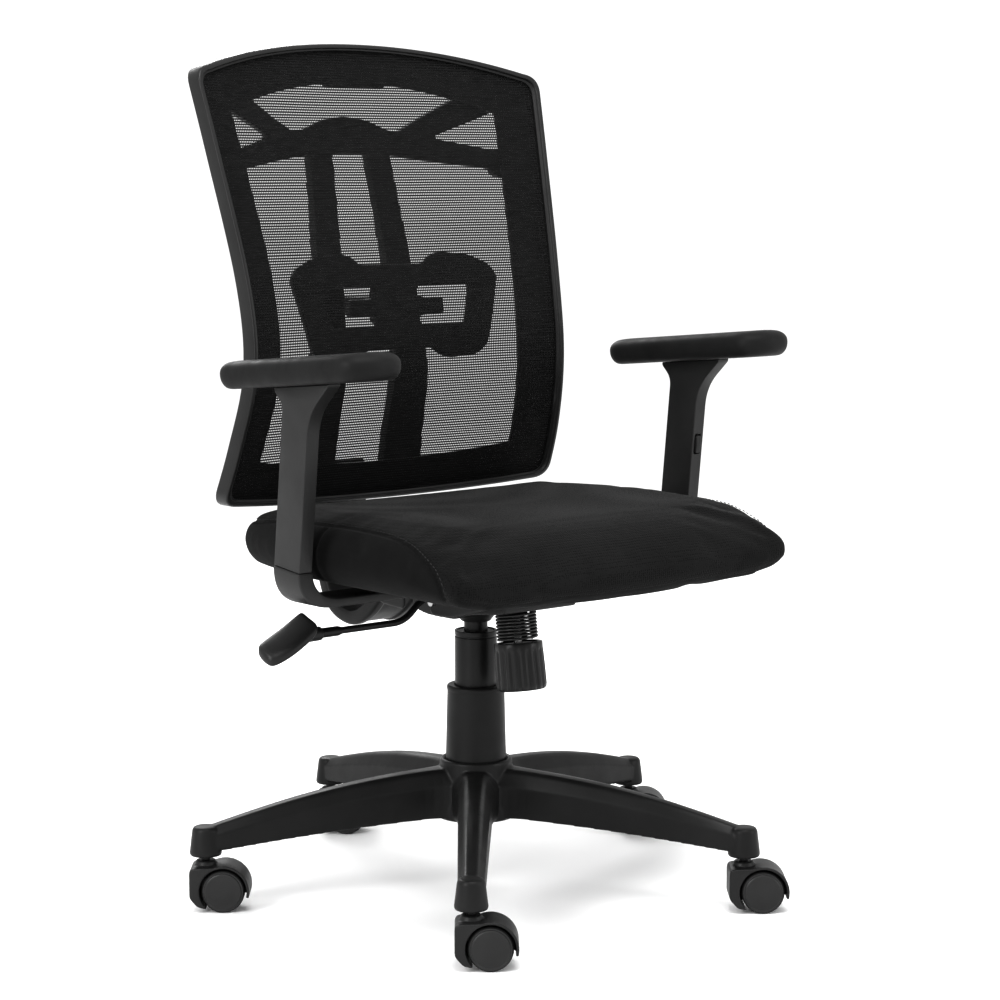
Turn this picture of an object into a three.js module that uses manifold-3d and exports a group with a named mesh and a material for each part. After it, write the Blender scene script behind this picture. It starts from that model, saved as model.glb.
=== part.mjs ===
// Swivel office chair: a five-star base on twin-wheel casters, a gas lift column, a tilt mechanism,
// a padded seat, height-adjustable arms and a mesh back with a sliding lumbar support.
// Units are millimetres, +Z is up, the chair faces -Y and +X is the sitter's left.
import * as THREE from 'three';
import { mergeVertices } from 'three/addons/utils/BufferGeometryUtils.js';
import Module from 'manifold-3d';

const wasm = await Module();
wasm.setup();

// ---------------------------------------------------------------- driving dimensions
const GAP = 0.3; // left between pieces that touch
const COLUMN_AT = [-18.2, -13.4]; // column axis, so that the origin is under the middle of the chair
const SETTLE = 8; // the spindle and all that it carries rest this much lower than they are drawn

const LEG_COUNT = 5;
const FIRST_LEG_AZIMUTH = -40.4; // degrees from -Y towards +X
const STEM_CIRCLE_RADIUS = 328;
const LEG = { rootRadius: 30, topAtHub: 150, topAtTip: 97, bottomAtHub: 92, bottomAtTip: 64,
  halfWidthAtHub: 21, halfWidthAtTip: 15, ridge: 0.55, shoulder: 0.45, wall: 3, tipRadius: 18 };
const HUB = { bottom: 88, skirtTop: 100, top: 154, bottomRadius: 50, topRadius: 43 };

const WHEEL = { radius: 25, width: 17, innerFace: 5.8, axleRadius: 4 };
const CASTER = { trail: 21, trailAzimuth: -39.5, hoodRadius: 30.5, hoodWall: 3, hoodHalfWidth: 22.5,
  webHalfWidth: 5, bossRadius: 12, bossTop: 59, stemRadius: 5, stemTop: 92,
  heel: [-18, -2], heelHeight: [15, 53] };

const TUBE = { radius: 25, bottom: 84, top: 312, wall: 3, floor: 6, floorHole: 6.8 };
const COVER = { bottomRadius: 36, topRadius: 34, top: 246.7, wall: 2.4 };
const CYLINDER = { radius: 14, bottom: 120, taperStart: 334, top: 355, wall: 2.2 };

const TILT_PIVOT = [-30, 366]; // Y and Z
const HOUSING = { halfWidth: 55, wall: 2.5 };
const PLATE = { halfWidth: 89, top: 391.3, thickness: 3 };
const TENSION = { at: [0, -80.9, 288], lean: 7.5, knobRadius: 29.5, knobHalfHeight: 28,
  springRadius: 22.6, wireRadius: 1.7, springTurns: 8, springTop: 63.6, headLow: 85, headHigh: 91 };

const SEAT = { halfWidth: 263, front: -282, rear: 168, top: 480, pan: [391.6, 403],
  panHalfWidth: 194, panHalfDepth: 172, panMiddle: -52 };

const ARM = { x: 292, footY: -38, footZ: 425, lean: 6, halfDeep: 24, length: 220,
  bracketHalfThick: 13, bracketLow: 381, bracketRoot: 110, sleeveHalfThick: 8.8,
  upright: [5.4, 17, 185], button: { halfWidth: 4, proud: 3, height: [94, 116] },
  flare: { front: 33, rear: 17, from: 172, to: 204 },
  padAt: [0, -9, 219.6], padTilt: -11.3, padSize: [88, 274, 31] };

const BACK = { bottom: 475, corner: 978, crown: 1014, rim: 10, rimDepth: 26, flange: 55,
  flangeDepth: 5, cornerRadius: 20, sagMiddle: 14, sagTop: 36, middle: 680 };
// side of the back, from the bottom corner to the top corner: [height, half width, depth]
const BACK_SIDE = [[475, 252, 165], [540, 247.5, 138.6], [630, 239, 119], [730, 240, 130],
  [880, 253, 169], [1014, 264.5, 206]];
const SPINE_FRONT = [[440, 236], [520, 226], [620, 210], [720, 217], [820, 236], [925, 266]];

// ---------------------------------------------------------------- looks
const LOOKS = {
  nylon: { color: 0x17181a, roughness: 0.5, metalness: 0 },
  rubber: { color: 0x1d1d1e, roughness: 0.6, metalness: 0 },
  paintedSteel: { color: 0x121213, roughness: 0.42, metalness: 0.3 },
  steel: { color: 0x8d8f92, roughness: 0.3, metalness: 1 },
  padFoam: { color: 0x141415, roughness: 0.7, metalness: 0 },
  fabric: { color: 0x0f0f10, roughness: 0.95, metalness: 0 },
  mesh: { color: 0x1a1a1b, roughness: 0.9, metalness: 0 },
};

// ---------------------------------------------------------------- geometry helpers
const rad = THREE.MathUtils.degToRad;
const lerp = THREE.MathUtils.lerp;

// One shared vertex per corner and no triangle without area, with the faces pointing out.
function closed(geometry) {
  geometry.deleteAttribute('normal');
  geometry.deleteAttribute('uv');
  const whole = mergeVertices(geometry, 1e-3);
  const old = whole.index.array;
  const index = [];
  for (let i = 0; i < old.length; i += 3) {
    const [a, b, c] = [old[i], old[i + 1], old[i + 2]];
    if (a !== b && b !== c && c !== a) index.push(a, b, c);
  }
  whole.setIndex(index);
  return facingOut(whole);
}

function facingOut(geometry) {
  const at = geometry.attributes.position;
  const index = geometry.index.array;
  const corner = [new THREE.Vector3(), new THREE.Vector3(), new THREE.Vector3()];
  let volume = 0;
  for (let i = 0; i < index.length; i += 3) {
    corner.forEach((v, k) => v.fromBufferAttribute(at, index[i + k]));
    volume += corner[0].dot(corner[1].clone().cross(corner[2]));
  }
  if (volume < 0) {
    for (let i = 0; i < index.length; i += 3) [index[i], index[i + 1]] = [index[i + 1], index[i]];
  }
  return geometry;
}

function toSolid(geometry) {
  const vertProperties = new Float32Array(geometry.attributes.position.array);
  const triVerts = new Uint32Array(geometry.index.array);
  return new wasm.Manifold(new wasm.Mesh({ numProp: 3, vertProperties, triVerts }));
}

function toGeometry(solid) {
  const { vertProperties, triVerts } = solid.getMesh();
  const geometry = new THREE.BufferGeometry();
  geometry.setAttribute('position', new THREE.BufferAttribute(new Float32Array(vertProperties), 3));
  geometry.setIndex(new THREE.BufferAttribute(new Uint32Array(triVerts), 1));
  return geometry;
}

const join = (...parts) => toGeometry(parts.map(toSolid).reduce((a, b) => a.add(b)));
const cut = (body, ...tools) =>
  toGeometry(tools.map(toSolid).reduce((a, b) => a.subtract(b), toSolid(body)));
const common = (a, b) => toGeometry(toSolid(a).intersect(toSolid(b)));

// A solid of revolution round +Z, from [radius, height] points.
function turned(profile, segments = 20) {
  const points = profile.map(([r, z]) => new THREE.Vector2(r, z));
  return closed(new THREE.LatheGeometry(points, segments).rotateX(Math.PI / 2));
}

const rod = (radius, low, high, segments = 12) =>
  turned([[0, low], [radius, low], [radius, high], [0, high]], segments);

function block([x0, x1], [y0, y1], [z0, z1]) {
  const box = new THREE.BoxGeometry(x1 - x0, y1 - y0, z1 - z0);
  return closed(box.translate((x0 + x1) / 2, (y0 + y1) / 2, (z0 + z1) / 2));
}

const outline = (points) => new THREE.Shape(points.map(([a, b]) => new THREE.Vector2(a, b)));

// A round bar's section, drawn with a few corners.
const disc = (radius, corners) => outline(Array.from({ length: corners }, (_, i) =>
  [radius * Math.cos((i * 2 * Math.PI) / corners), radius * Math.sin((i * 2 * Math.PI) / corners)]));

// An outline in X and Y, raised from low to high.
function raised(shape, low, high, curveSegments = 6) {
  const prism = new THREE.ExtrudeGeometry(shape, { depth: high - low, bevelEnabled: false, curveSegments });
  return closed(prism.translate(0, 0, low));
}

// An outline in Y and Z, run along X.
function alongX(shape, low, high, curveSegments = 6) {
  const turn = new THREE.Matrix4().makeBasis(
    new THREE.Vector3(0, 1, 0), new THREE.Vector3(0, 0, 1), new THREE.Vector3(1, 0, 0));
  return raised(shape, low, high, curveSegments).applyMatrix4(turn);
}

// An outline in X and Z, run along Y.
function alongY(shape, low, high, curveSegments = 6) {
  const turn = new THREE.Matrix4().makeBasis(
    new THREE.Vector3(1, 0, 0), new THREE.Vector3(0, 0, 1), new THREE.Vector3(0, -1, 0));
  return raised(shape, -high, -low, curveSegments).applyMatrix4(turn);
}

// A box cut into steps whose corners, each -1 to 1, are carried somewhere else by place(u, v, w).
function moulded([nu, nv, nw], place) {
  const geometry = closed(new THREE.BoxGeometry(2, 2, 2, nu, nv, nw));
  const at = geometry.attributes.position;
  for (let i = 0; i < at.count; i += 1) at.setXYZ(i, ...place(at.getX(i), at.getY(i), at.getZ(i)));
  return facingOut(geometry);
}

// Half the width of a bore whose flats just clear a round bar.
const bore = (radius, segments, play = GAP) => (radius + play) / Math.cos(Math.PI / segments);

// A smooth curve through [height, value, ...] points, read at a height.
function profileOf(points, column) {
  const curve = new THREE.SplineCurve(points.map((p) => new THREE.Vector2(p[0], p[column])));
  const steps = curve.getPoints(60);
  return (height) => {
    const z = THREE.MathUtils.clamp(height, steps[0].x, steps.at(-1).x);
    const high = Math.max(1, steps.findIndex((p) => p.x >= z));
    return THREE.MathUtils.mapLinear(z, steps[high - 1].x, steps[high].x, steps[high - 1].y, steps[high].y);
  };
}

// ---------------------------------------------------------------- scene graph
const chair = new THREE.Group();

function group(parent, [x, y, z] = [0, 0, 0], turn = {}) {
  const holder = new THREE.Group();
  holder.position.set(x, y, z);
  holder.rotation.set(rad(turn.x ?? 0), rad(turn.y ?? 0), rad(turn.z ?? 0));
  parent.add(holder);
  return holder;
}

function add(parent, name, geometry, look) {
  const mesh = new THREE.Mesh(geometry, new THREE.MeshStandardMaterial(LOOKS[look]));
  mesh.name = name;
  parent.add(mesh);
  return mesh;
}

const column = group(chair, [...COLUMN_AT, 0]);
const carried = group(column, [0, 0, -SETTLE]);
const legAzimuths = Array.from({ length: LEG_COUNT }, (_, k) => FIRST_LEG_AZIMUTH + (k * 360) / LEG_COUNT);

// ---------------------------------------------------------------- five-star base
// A leg runs along +X, tapering in width and in height; inset shrinks it to the hollow beneath it.
function legBody(from, to, inset, steps) {
  return moulded(steps, (u, v, w) => {
    const along = lerp(from, to, (u + 1) / 2);
    const s = (along - LEG.rootRadius) / (STEM_CIRCLE_RADIUS - LEG.rootRadius);
    const halfWidth = lerp(LEG.halfWidthAtHub, LEG.halfWidthAtTip, s) - inset;
    const top = lerp(LEG.topAtHub, LEG.topAtTip, s) - inset;
    const bottom = lerp(LEG.bottomAtHub, LEG.bottomAtTip, s) - 2 * inset;
    const ridge = w > 0.5;
    const height = ridge ? top : lerp(bottom, top, w < -0.5 ? 0 : LEG.shoulder);
    return [along, v * halfWidth * (ridge ? LEG.ridge : 1), height];
  });
}

function fiveStarBase() {
  const around = (geometry) => legAzimuths.map((a) => geometry.clone().rotateZ(rad(a - 90)));
  const leg = legBody(LEG.rootRadius, STEM_CIRCLE_RADIUS, 0, [3, 1, 2]);
  const hollow = legBody(HUB.bottomRadius, STEM_CIRCLE_RADIUS - 16, LEG.wall, [1, 1, 2]);
  const tipBoss = rod(LEG.tipRadius, LEG.bottomAtTip, LEG.topAtTip).translate(STEM_CIRCLE_RADIUS, 0, 0);
  const socket = rod(bore(CASTER.stemRadius, 10), LEG.bottomAtTip - 1, CASTER.stemTop + GAP, 10)
    .translate(STEM_CIRCLE_RADIUS, 0, 0);
  const hub = turned([[0, HUB.bottom], [HUB.bottomRadius, HUB.bottom], [HUB.bottomRadius, HUB.skirtTop],
    [HUB.topRadius, HUB.top], [0, HUB.top]]);
  const columnBore = rod(bore(TUBE.radius, 20), HUB.bottom - 1, HUB.top + 1, 20);
  const solid = join(hub, ...around(leg), ...around(tipBoss));
  return cut(solid, columnBore, ...around(hollow), ...around(socket));
}

add(column, 'five_star_base', fiveStarBase(), 'nylon');

// ---------------------------------------------------------------- casters
// A caster is built with its stem on Z and its wheels trailing towards +X, axle along Y.
function hoodShape() {
  const shape = new THREE.Shape();
  const [r, inner] = [CASTER.hoodRadius, CASTER.hoodRadius - CASTER.hoodWall];
  shape.absarc(CASTER.trail, WHEEL.radius, r, rad(-12), rad(205), false);
  shape.absarc(CASTER.trail, WHEEL.radius, inner, rad(205), rad(-12), true);
  shape.closePath();
  return shape;
}

function casterHousing() {
  const hood = alongY(hoodShape(), -CASTER.hoodHalfWidth, CASTER.hoodHalfWidth, 3);
  const boss = rod(CASTER.bossRadius, 34, CASTER.bossTop, 10);
  const heel = block(CASTER.heel, [-CASTER.hoodHalfWidth, CASTER.hoodHalfWidth], CASTER.heelHeight);
  const wheelRoom = rod(WHEEL.radius + 2.4, -40, 40, 14).rotateX(Math.PI / 2)
    .translate(CASTER.trail, 0, WHEEL.radius);
  const web = new THREE.Shape();
  web.absarc(CASTER.trail, WHEEL.radius, CASTER.hoodRadius - 1.5, rad(-5), rad(200), false);
  web.lineTo(CASTER.trail, 14);
  const webPlate = alongY(web, -CASTER.webHalfWidth, CASTER.webHalfWidth, 3);
  const axleBore = rod(bore(WHEEL.axleRadius, 8), -30, 30, 8).rotateX(Math.PI / 2)
    .translate(CASTER.trail, 0, WHEEL.radius);
  const stemBore = rod(bore(CASTER.stemRadius, 10), 43, CASTER.bossTop + 1, 10);
  return cut(join(cut(join(hood, boss, heel), wheelRoom), webPlate), axleBore, stemBore);
}

const casterStem = () => turned([[0, 44], [CASTER.stemRadius, 44], [CASTER.stemRadius, CASTER.stemTop - 2],
  [CASTER.stemRadius - 1.5, CASTER.stemTop], [0, CASTER.stemTop]], 10);

// A wheel stands on a flat of its tread, so the flats, not the corners, are at the wheel's radius.
function casterWheel(side) {
  const flats = 14;
  const inside = WHEEL.innerFace;
  const outside = inside + WHEEL.width;
  const hole = bore(WHEEL.axleRadius, flats);
  const tread = WHEEL.radius / Math.cos(Math.PI / flats);
  const section = [[hole, inside], [tread, inside], [tread, outside - 4], [tread - 3, outside],
    [hole, outside], [hole, inside]];
  return turned(section, flats).rotateZ(Math.PI / flats).rotateX(rad(-90 * side));
}

legAzimuths.forEach((azimuth, k) => {
  const a = rad(azimuth);
  const stemAt = [STEM_CIRCLE_RADIUS * Math.sin(a), -STEM_CIRCLE_RADIUS * Math.cos(a), 0];
  const caster = group(column, stemAt, { z: CASTER.trailAzimuth });
  const n = k + 1;
  add(caster, `caster_stem_${n}`, casterStem(), 'steel');
  add(caster, `caster_housing_${n}`, casterHousing(), 'nylon');
  const wheelset = group(caster, [CASTER.trail, 0, WHEEL.radius]);
  const reach = WHEEL.innerFace + WHEEL.width - 2;
  add(wheelset, `caster_axle_${n}`, rod(WHEEL.axleRadius, -reach, reach, 8).rotateX(Math.PI / 2), 'steel');
  add(wheelset, `caster_wheel_${n}a`, casterWheel(1), 'rubber');
  add(wheelset, `caster_wheel_${n}b`, casterWheel(-1), 'rubber');
});

// ---------------------------------------------------------------- gas lift column
const tubeInner = TUBE.radius - TUBE.wall;
add(column, 'gas_lift_tube', turned([[TUBE.floorHole, TUBE.bottom], [TUBE.radius - 0.8, TUBE.bottom],
  [TUBE.radius, HUB.top + 6], [TUBE.radius, TUBE.top], [tubeInner, TUBE.top],
  [tubeInner, TUBE.bottom + TUBE.floor], [TUBE.floorHole, TUBE.bottom + TUBE.floor],
  [TUBE.floorHole, TUBE.bottom]]), 'paintedSteel');

const bushOuter = tubeInner * Math.cos(Math.PI / 20) - GAP;
const bushInner = bore(CYLINDER.radius, 20);
const [bushLow, bushHigh] = [215, TUBE.top - 1];
add(column, 'gas_lift_bush', turned([[bushInner, bushLow], [bushOuter, bushLow], [bushOuter, bushHigh],
  [bushInner, bushHigh], [bushInner, bushLow]]), 'nylon');

const coverHole = bore(TUBE.radius, 20);
add(column, 'column_cover', turned([[COVER.bottomRadius - COVER.wall, HUB.top + GAP],
  [COVER.bottomRadius, HUB.top + GAP], [COVER.topRadius, COVER.top - 4], [COVER.topRadius - 3, COVER.top],
  [coverHole, COVER.top], [coverHole, COVER.top - COVER.wall],
  [COVER.topRadius - COVER.wall - 1, COVER.top - COVER.wall - 3],
  [COVER.bottomRadius - COVER.wall, HUB.top + GAP]]), 'nylon');

// The piston rod hangs in the tube by a flange above the thrust bearing and one below the tube's floor.
const ROD = { radius: 5, flange: 9, clear: 5.8, low: 80.5, pistonRadius: 10.8, piston: [235, 243] };
const bearing = [TUBE.bottom + TUBE.floor + 0.4, 98];
add(column, 'thrust_bearing', turned([[ROD.clear, bearing[0]], [20, bearing[0]], [20, bearing[1]],
  [ROD.clear, bearing[1]], [ROD.clear, bearing[0]]], 14), 'steel');

const rodFlange = [bearing[1] + 0.4, bearing[1] + 5];
add(column, 'piston_rod', turned([[0, ROD.low], [ROD.flange, ROD.low], [ROD.flange, TUBE.bottom - 0.4],
  [ROD.radius, TUBE.bottom - 0.4], [ROD.radius, rodFlange[0]], [ROD.flange, rodFlange[0]],
  [ROD.flange, rodFlange[1]], [ROD.radius, rodFlange[1]], [ROD.radius, ROD.piston[0]],
  [ROD.pistonRadius, ROD.piston[0]], [ROD.pistonRadius, ROD.piston[1]], [0, ROD.piston[1]]], 12), 'steel');

// The cylinder is closed at the top by a plug with a blind hole for the valve.
const cylinderInner = CYLINDER.radius - CYLINDER.wall;
const [plugLow, valveFloor, valveHole] = [326, 346, 4.6];
add(carried, 'gas_lift_spindle', turned([[ROD.clear, CYLINDER.bottom], [CYLINDER.radius, CYLINDER.bottom],
  [CYLINDER.radius, CYLINDER.taperStart], [CYLINDER.radius - 1, CYLINDER.top], [valveHole, CYLINDER.top],
  [valveHole, valveFloor], [0, valveFloor], [0, plugLow], [cylinderInner, plugLow],
  [cylinderInner, CYLINDER.bottom + 10], [ROD.clear, CYLINDER.bottom + 10],
  [ROD.clear, CYLINDER.bottom]]), 'paintedSteel');

add(carried, 'valve_button', rod(4, valveFloor + 4, 361.3, 10), 'steel');

// ---------------------------------------------------------------- tilt mechanism
// The lower housing grips the spindle; it is an open-topped pressed channel with a funnel-shaped hub.
function mechanismHousing() {
  const { halfWidth, wall } = HOUSING;
  const side = outline([[-118, 384], [-118, 358], [-50, 349], [-26, 341], [26, 341], [50, 346],
    [50, 361], [-20, 384]]);
  const hollow = outline([[-118 + wall, 390], [-118 + wall, 361], [-50, 352], [-26, 344], [26, 344],
    [50 - wall, 349], [50 - wall, 390]]);
  const inside = alongX(hollow, wall - halfWidth, halfWidth - wall);
  const channel = cut(alongX(side, -halfWidth, halfWidth), inside);
  const funnel = turned([[0, 331], [19, 331], [21, 336], [28, 343], [24, 350], [20, 353], [0, 353]]);
  const [boreLow, boreHigh] = [bore(CYLINDER.radius, 20), bore(CYLINDER.radius - 1, 20)];
  const spindleBore = turned([[0, 330], [boreLow, 330], [boreLow, CYLINDER.taperStart],
    [boreHigh, CYLINDER.top], [0, CYLINDER.top]]);
  const leverWindow = block([-halfWidth - 1, 1 - halfWidth + wall], [-10, 10], [356, 379]);
  const boltHole = rod(8, 30, 80, 12).rotateX(rad(-TENSION.lean)).translate(...TENSION.at);
  const [pivotY, pivotZ] = TILT_PIVOT;
  const pinHole = rod(bore(5, 12), -70, 70, 12).rotateY(Math.PI / 2).translate(0, pivotY, pivotZ);
  return cut(join(channel, funnel), spindleBore, leverWindow, boltHole, pinHole);
}

// The upper plate carries the seat; its two side flanges turn on the pivot pin outside the housing.
function tiltPlate() {
  const { halfWidth, top, thickness } = PLATE;
  const flange = outline([[-128, top - 1], [-128, 368], [-60, 350], [-24, 350], [-24, 380], [24, 380],
    [24, 350], [70, 352], [98, 364], [98, top - 1]]);
  const flanges = [-halfWidth, halfWidth - thickness].map((x) => alongX(flange, x, x + thickness));
  const sheet = block([-halfWidth, halfWidth], [-128, 120], [top - thickness, top]);
  const [pivotY, pivotZ] = TILT_PIVOT;
  const pinHole = rod(bore(5, 12), -100, 100, 12).rotateY(Math.PI / 2).translate(0, pivotY, pivotZ);
  return cut(join(sheet, ...flanges), pinHole);
}

add(carried, 'mechanism_housing', mechanismHousing(), 'paintedSteel');
add(carried, 'tilt_plate', tiltPlate(), 'paintedSteel');
add(carried, 'tilt_pivot_pin', rod(5, -93, 93).rotateY(Math.PI / 2).translate(0, ...TILT_PIVOT), 'steel');

// The tension bolt leans back at the top; the knob, the spring and the bolt share its axis.
const tension = group(carried, TENSION.at, { x: -TENSION.lean });

function tensionKnob() {
  const flutes = 18;
  const points = Array.from({ length: flutes * 2 }, (_, i) => {
    const r = TENSION.knobRadius - (i % 2) * 1.6;
    return [r * Math.cos((i * Math.PI) / flutes), r * Math.sin((i * Math.PI) / flutes)];
  });
  const grip = raised(outline(points), -TENSION.knobHalfHeight, TENSION.knobHalfHeight);
  return cut(grip, rod(bore(5, 12), -TENSION.knobHalfHeight - 1, TENSION.knobHalfHeight + 1, 12));
}

function tensionSpring() {
  class Helix extends THREE.Curve {
    getPoint(t, target = new THREE.Vector3()) {
      const low = TENSION.knobHalfHeight + TENSION.wireRadius + 0.6;
      const turn = t * TENSION.springTurns * 2 * Math.PI;
      const z = lerp(low, TENSION.springTop - TENSION.wireRadius - 0.6, t);
      return target.set(TENSION.springRadius * Math.cos(turn), TENSION.springRadius * Math.sin(turn), z);
    }
  }
  return closed(new THREE.ExtrudeGeometry(disc(TENSION.wireRadius, 5),
    { steps: TENSION.springTurns * 7, extrudePath: new Helix() }));
}

add(tension, 'tension_knob', tensionKnob(), 'nylon');
add(tension, 'tension_spring', tensionSpring(), 'paintedSteel');
add(tension, 'tension_bolt', turned([[0, -22], [5, -22], [5, TENSION.headLow], [10, TENSION.headLow],
  [10, TENSION.headHigh], [0, TENSION.headHigh]], 12), 'steel');

// ---------------------------------------------------------------- height lever
// The rod enters the housing over the valve, drops outside it and runs out under the seat.
const LEVER = { insideZ: 366, outsideZ: 341, innerEnd: 12, bendIn: -80, bendOut: -108, outerEnd: -246,
  radius: 4, paddle: { outer: [-306, 325], inner: [-236, 350], halfWidth: 19, halfThick: 9 },
  socket: { radius: 8, outer: -262, inner: -228 }, bush: [-48, -24] };

function leverRod() {
  const at = (x, z) => new THREE.Vector3(x, 0, z);
  const path = new THREE.CurvePath();
  const bends = [at(LEVER.innerEnd, LEVER.insideZ), at(LEVER.bendIn + 8, LEVER.insideZ),
    at(LEVER.bendIn - 6, LEVER.insideZ - 8), at(LEVER.bendOut + 6, LEVER.outsideZ + 6),
    at(LEVER.bendOut - 8, LEVER.outsideZ), at(LEVER.outerEnd, LEVER.outsideZ)];
  path.add(new THREE.LineCurve3(bends[0], bends[1]));
  path.add(new THREE.CatmullRomCurve3(bends.slice(1, 5)));
  path.add(new THREE.LineCurve3(bends[4], bends[5]));
  return closed(new THREE.ExtrudeGeometry(disc(LEVER.radius, 8), { steps: 16, extrudePath: path }));
}

// A flat paddle that leans down towards its outer end, with a socket for the rod.
function leverHandle() {
  const { outer, inner, halfWidth, halfThick } = LEVER.paddle;
  const paddle = moulded([5, 3, 2], (u, v, w) => {
    const narrow = 1 - 0.35 * Math.max(0, -u) ** 2;
    const t = (u + 1) / 2;
    const middle = lerp(outer[1], inner[1], t);
    return [lerp(outer[0], inner[0], t), v * halfWidth * narrow * (1 - 0.2 * w * w),
      middle + w * halfThick * (1 - 0.3 * v * v)];
  });
  const onRod = (radius, from, to) =>
    rod(radius, from, to, 10).rotateY(Math.PI / 2).translate(0, 0, LEVER.outsideZ);
  const socket = onRod(LEVER.socket.radius, LEVER.socket.outer, LEVER.socket.inner);
  const hole = onRod(bore(LEVER.radius, 10, 0.6), LEVER.outerEnd - 5, LEVER.socket.inner + 2);
  return cut(join(paddle, socket), hole);
}

add(carried, 'lever_rod', leverRod(), 'paintedSteel');
add(carried, 'lever_handle', leverHandle(), 'nylon');
const [bushOut, bushIn] = LEVER.bush;
const leverBush = turned([[6, bushOut], [8.6, bushOut], [8.6, bushIn], [6, bushIn], [6, bushOut]], 12);
add(carried, 'lever_bush', leverBush.rotateY(Math.PI / 2).translate(0, 0, LEVER.insideZ), 'nylon');

// ---------------------------------------------------------------- seat
const seatMiddle = (SEAT.front + SEAT.rear) / 2;
const seatHalfDepth = (SEAT.rear - SEAT.front) / 2;

// A square of side 2 carried to one with round corners.
const rounded = (u, v, roundness) =>
  [u * Math.sqrt(1 - roundness * v * v), v * Math.sqrt(1 - roundness * u * u)];

const seatPan = moulded([4, 4, 1], (u, v, w) => {
  const [x, y] = rounded(u, v, 0.16);
  return [x * SEAT.panHalfWidth, y * SEAT.panHalfDepth + SEAT.panMiddle, w > 0 ? SEAT.pan[1] : SEAT.pan[0]];
});

const seatCushion = moulded([10, 10, 2], (u, v, w) => {
  const [x, y] = rounded(u, v, v < 0 ? 0.1 : 0.22);
  const edge = Math.max(Math.abs(u), Math.abs(v)) > 0.95;
  const front = Math.max(0, (-v - 0.4) / 0.6);
  const swell = edge ? 0.965 + 0.035 * (1 - w * w) : 1;
  const top = SEAT.top - 6 * (1 - u * u) - (edge ? 14 : 0) - 26 * front ** 2 - 6 * Math.max(0, v);
  const bottom = edge ? 402 - 15 * front : SEAT.pan[1] + GAP;
  return [x * SEAT.halfWidth * swell, seatMiddle + y * seatHalfDepth * swell, lerp(bottom, top, (w + 1) / 2)];
});

add(carried, 'seat_pan', seatPan, 'nylon');
add(carried, 'seat_cushion', seatCushion, 'fabric');

// ---------------------------------------------------------------- arms
// The bracket runs out from under the seat and turns up into a foot with a slanted top.
function armBracket(side) {
  const { x, bracketHalfThick, footY, footZ, halfDeep, lean } = ARM;
  const [inner, outer] = [x - bracketHalfThick, x + bracketHalfThick];
  const [low, high, root] = [ARM.bracketLow, SEAT.pan[0] - GAP, side * ARM.bracketRoot];
  const shape = new THREE.Shape();
  shape.moveTo(root, low);
  shape.lineTo(side * (outer - 42), low);
  shape.quadraticCurveTo(side * outer, low + 2, side * outer, footZ - 3);
  shape.lineTo(side * outer, footZ);
  shape.lineTo(side * inner, footZ);
  shape.quadraticCurveTo(side * inner, high, side * (inner - 22), high);
  shape.lineTo(root, high);
  const geometry = alongY(shape, footY - halfDeep, footY + halfDeep, 5);
  const at = geometry.attributes.position;
  for (let i = 0; i < at.count; i += 1) {
    if (at.getZ(i) > footZ - 1) at.setZ(i, at.getZ(i) + (at.getY(i) - footY) * Math.tan(rad(lean)));
  }
  return geometry;
}

// The sleeve slides on the upright and spreads out under the pad, whose slope cuts it off.
function armSleeve(edge) {
  const { sleeveHalfThick, halfDeep, length, flare, padAt, padTilt, padSize, upright, button } = ARM;
  const [frontEdge, rearEdge] = [-halfDeep - flare.front, halfDeep + flare.rear];
  const side = outline([[-halfDeep, 0.4], [halfDeep, 0.4], [halfDeep, flare.from], [rearEdge, flare.to - 6],
    [rearEdge, length], [frontEdge, length + 20], [frontEdge, flare.to + 6], [-halfDeep, flare.from]]);
  const [roomX, roomY] = [upright[0] + 0.4, upright[1] + 1];
  const cavity = block([-roomX, roomX], [-roomY, roomY], [-1, upright[2] + 5]);
  const above = block([-60, 60], [-160, 160], [-padSize[2] / 2 - GAP, 80])
    .rotateX(rad(padTilt)).translate(...padAt);
  const holeX = button.halfWidth + 0.5;
  const holeY = [roomY - 0.5, halfDeep + button.proud];
  const buttonHole = block([-holeX, holeX], holeY, [button.height[0] - 1, button.height[1] + 1])
    .scale(1, edge, 1);
  return cut(alongX(side, -sleeveHalfThick, sleeveHalfThick), cavity, above, facingOut(buttonHole));
}

const armPad = () => moulded([4, 8, 3], (u, v, w) => {
  const [x, y] = rounded(u, v, 0.25);
  const crown = Math.abs(w) > 0.5 ? 0.94 : 1;
  return [x * (ARM.padSize[0] / 2) * crown, y * (ARM.padSize[1] / 2) * crown, w * (ARM.padSize[2] / 2)];
});

[['right', -1], ['left', 1]].forEach(([name, side]) => {
  add(carried, `arm_bracket_${name}`, armBracket(side), 'nylon');
  const arm = group(carried, [side * ARM.x, ARM.footY, ARM.footZ], { x: ARM.lean });
  const buttonEdge = -side; // one arm is the other turned about, so its button is at the other edge
  const [barX, barY, barTop] = ARM.upright;
  add(arm, `arm_upright_${name}`, block([-barX, barX], [-barY, barY], [0.4, barTop]), 'paintedSteel');
  add(arm, `arm_sleeve_${name}`, armSleeve(buttonEdge), 'nylon');
  const { halfWidth, proud, height } = ARM.button;
  const depth = [ARM.halfDeep - proud, ARM.halfDeep + proud];
  const press = block([-halfWidth, halfWidth], depth, height).scale(1, buttonEdge, 1);
  add(arm, `arm_button_${name}`, facingOut(press), 'nylon');
  const padHolder = group(arm, ARM.padAt, { x: ARM.padTilt });
  add(padHolder, `arm_pad_${name}`, armPad(), 'padFoam');
});

// ---------------------------------------------------------------- back
const backHalfWidth = profileOf(BACK_SIDE, 1);
const backSideDepth = profileOf(BACK_SIDE, 2);
const spineDepth = profileOf(SPINE_FRONT, 1);

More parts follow.
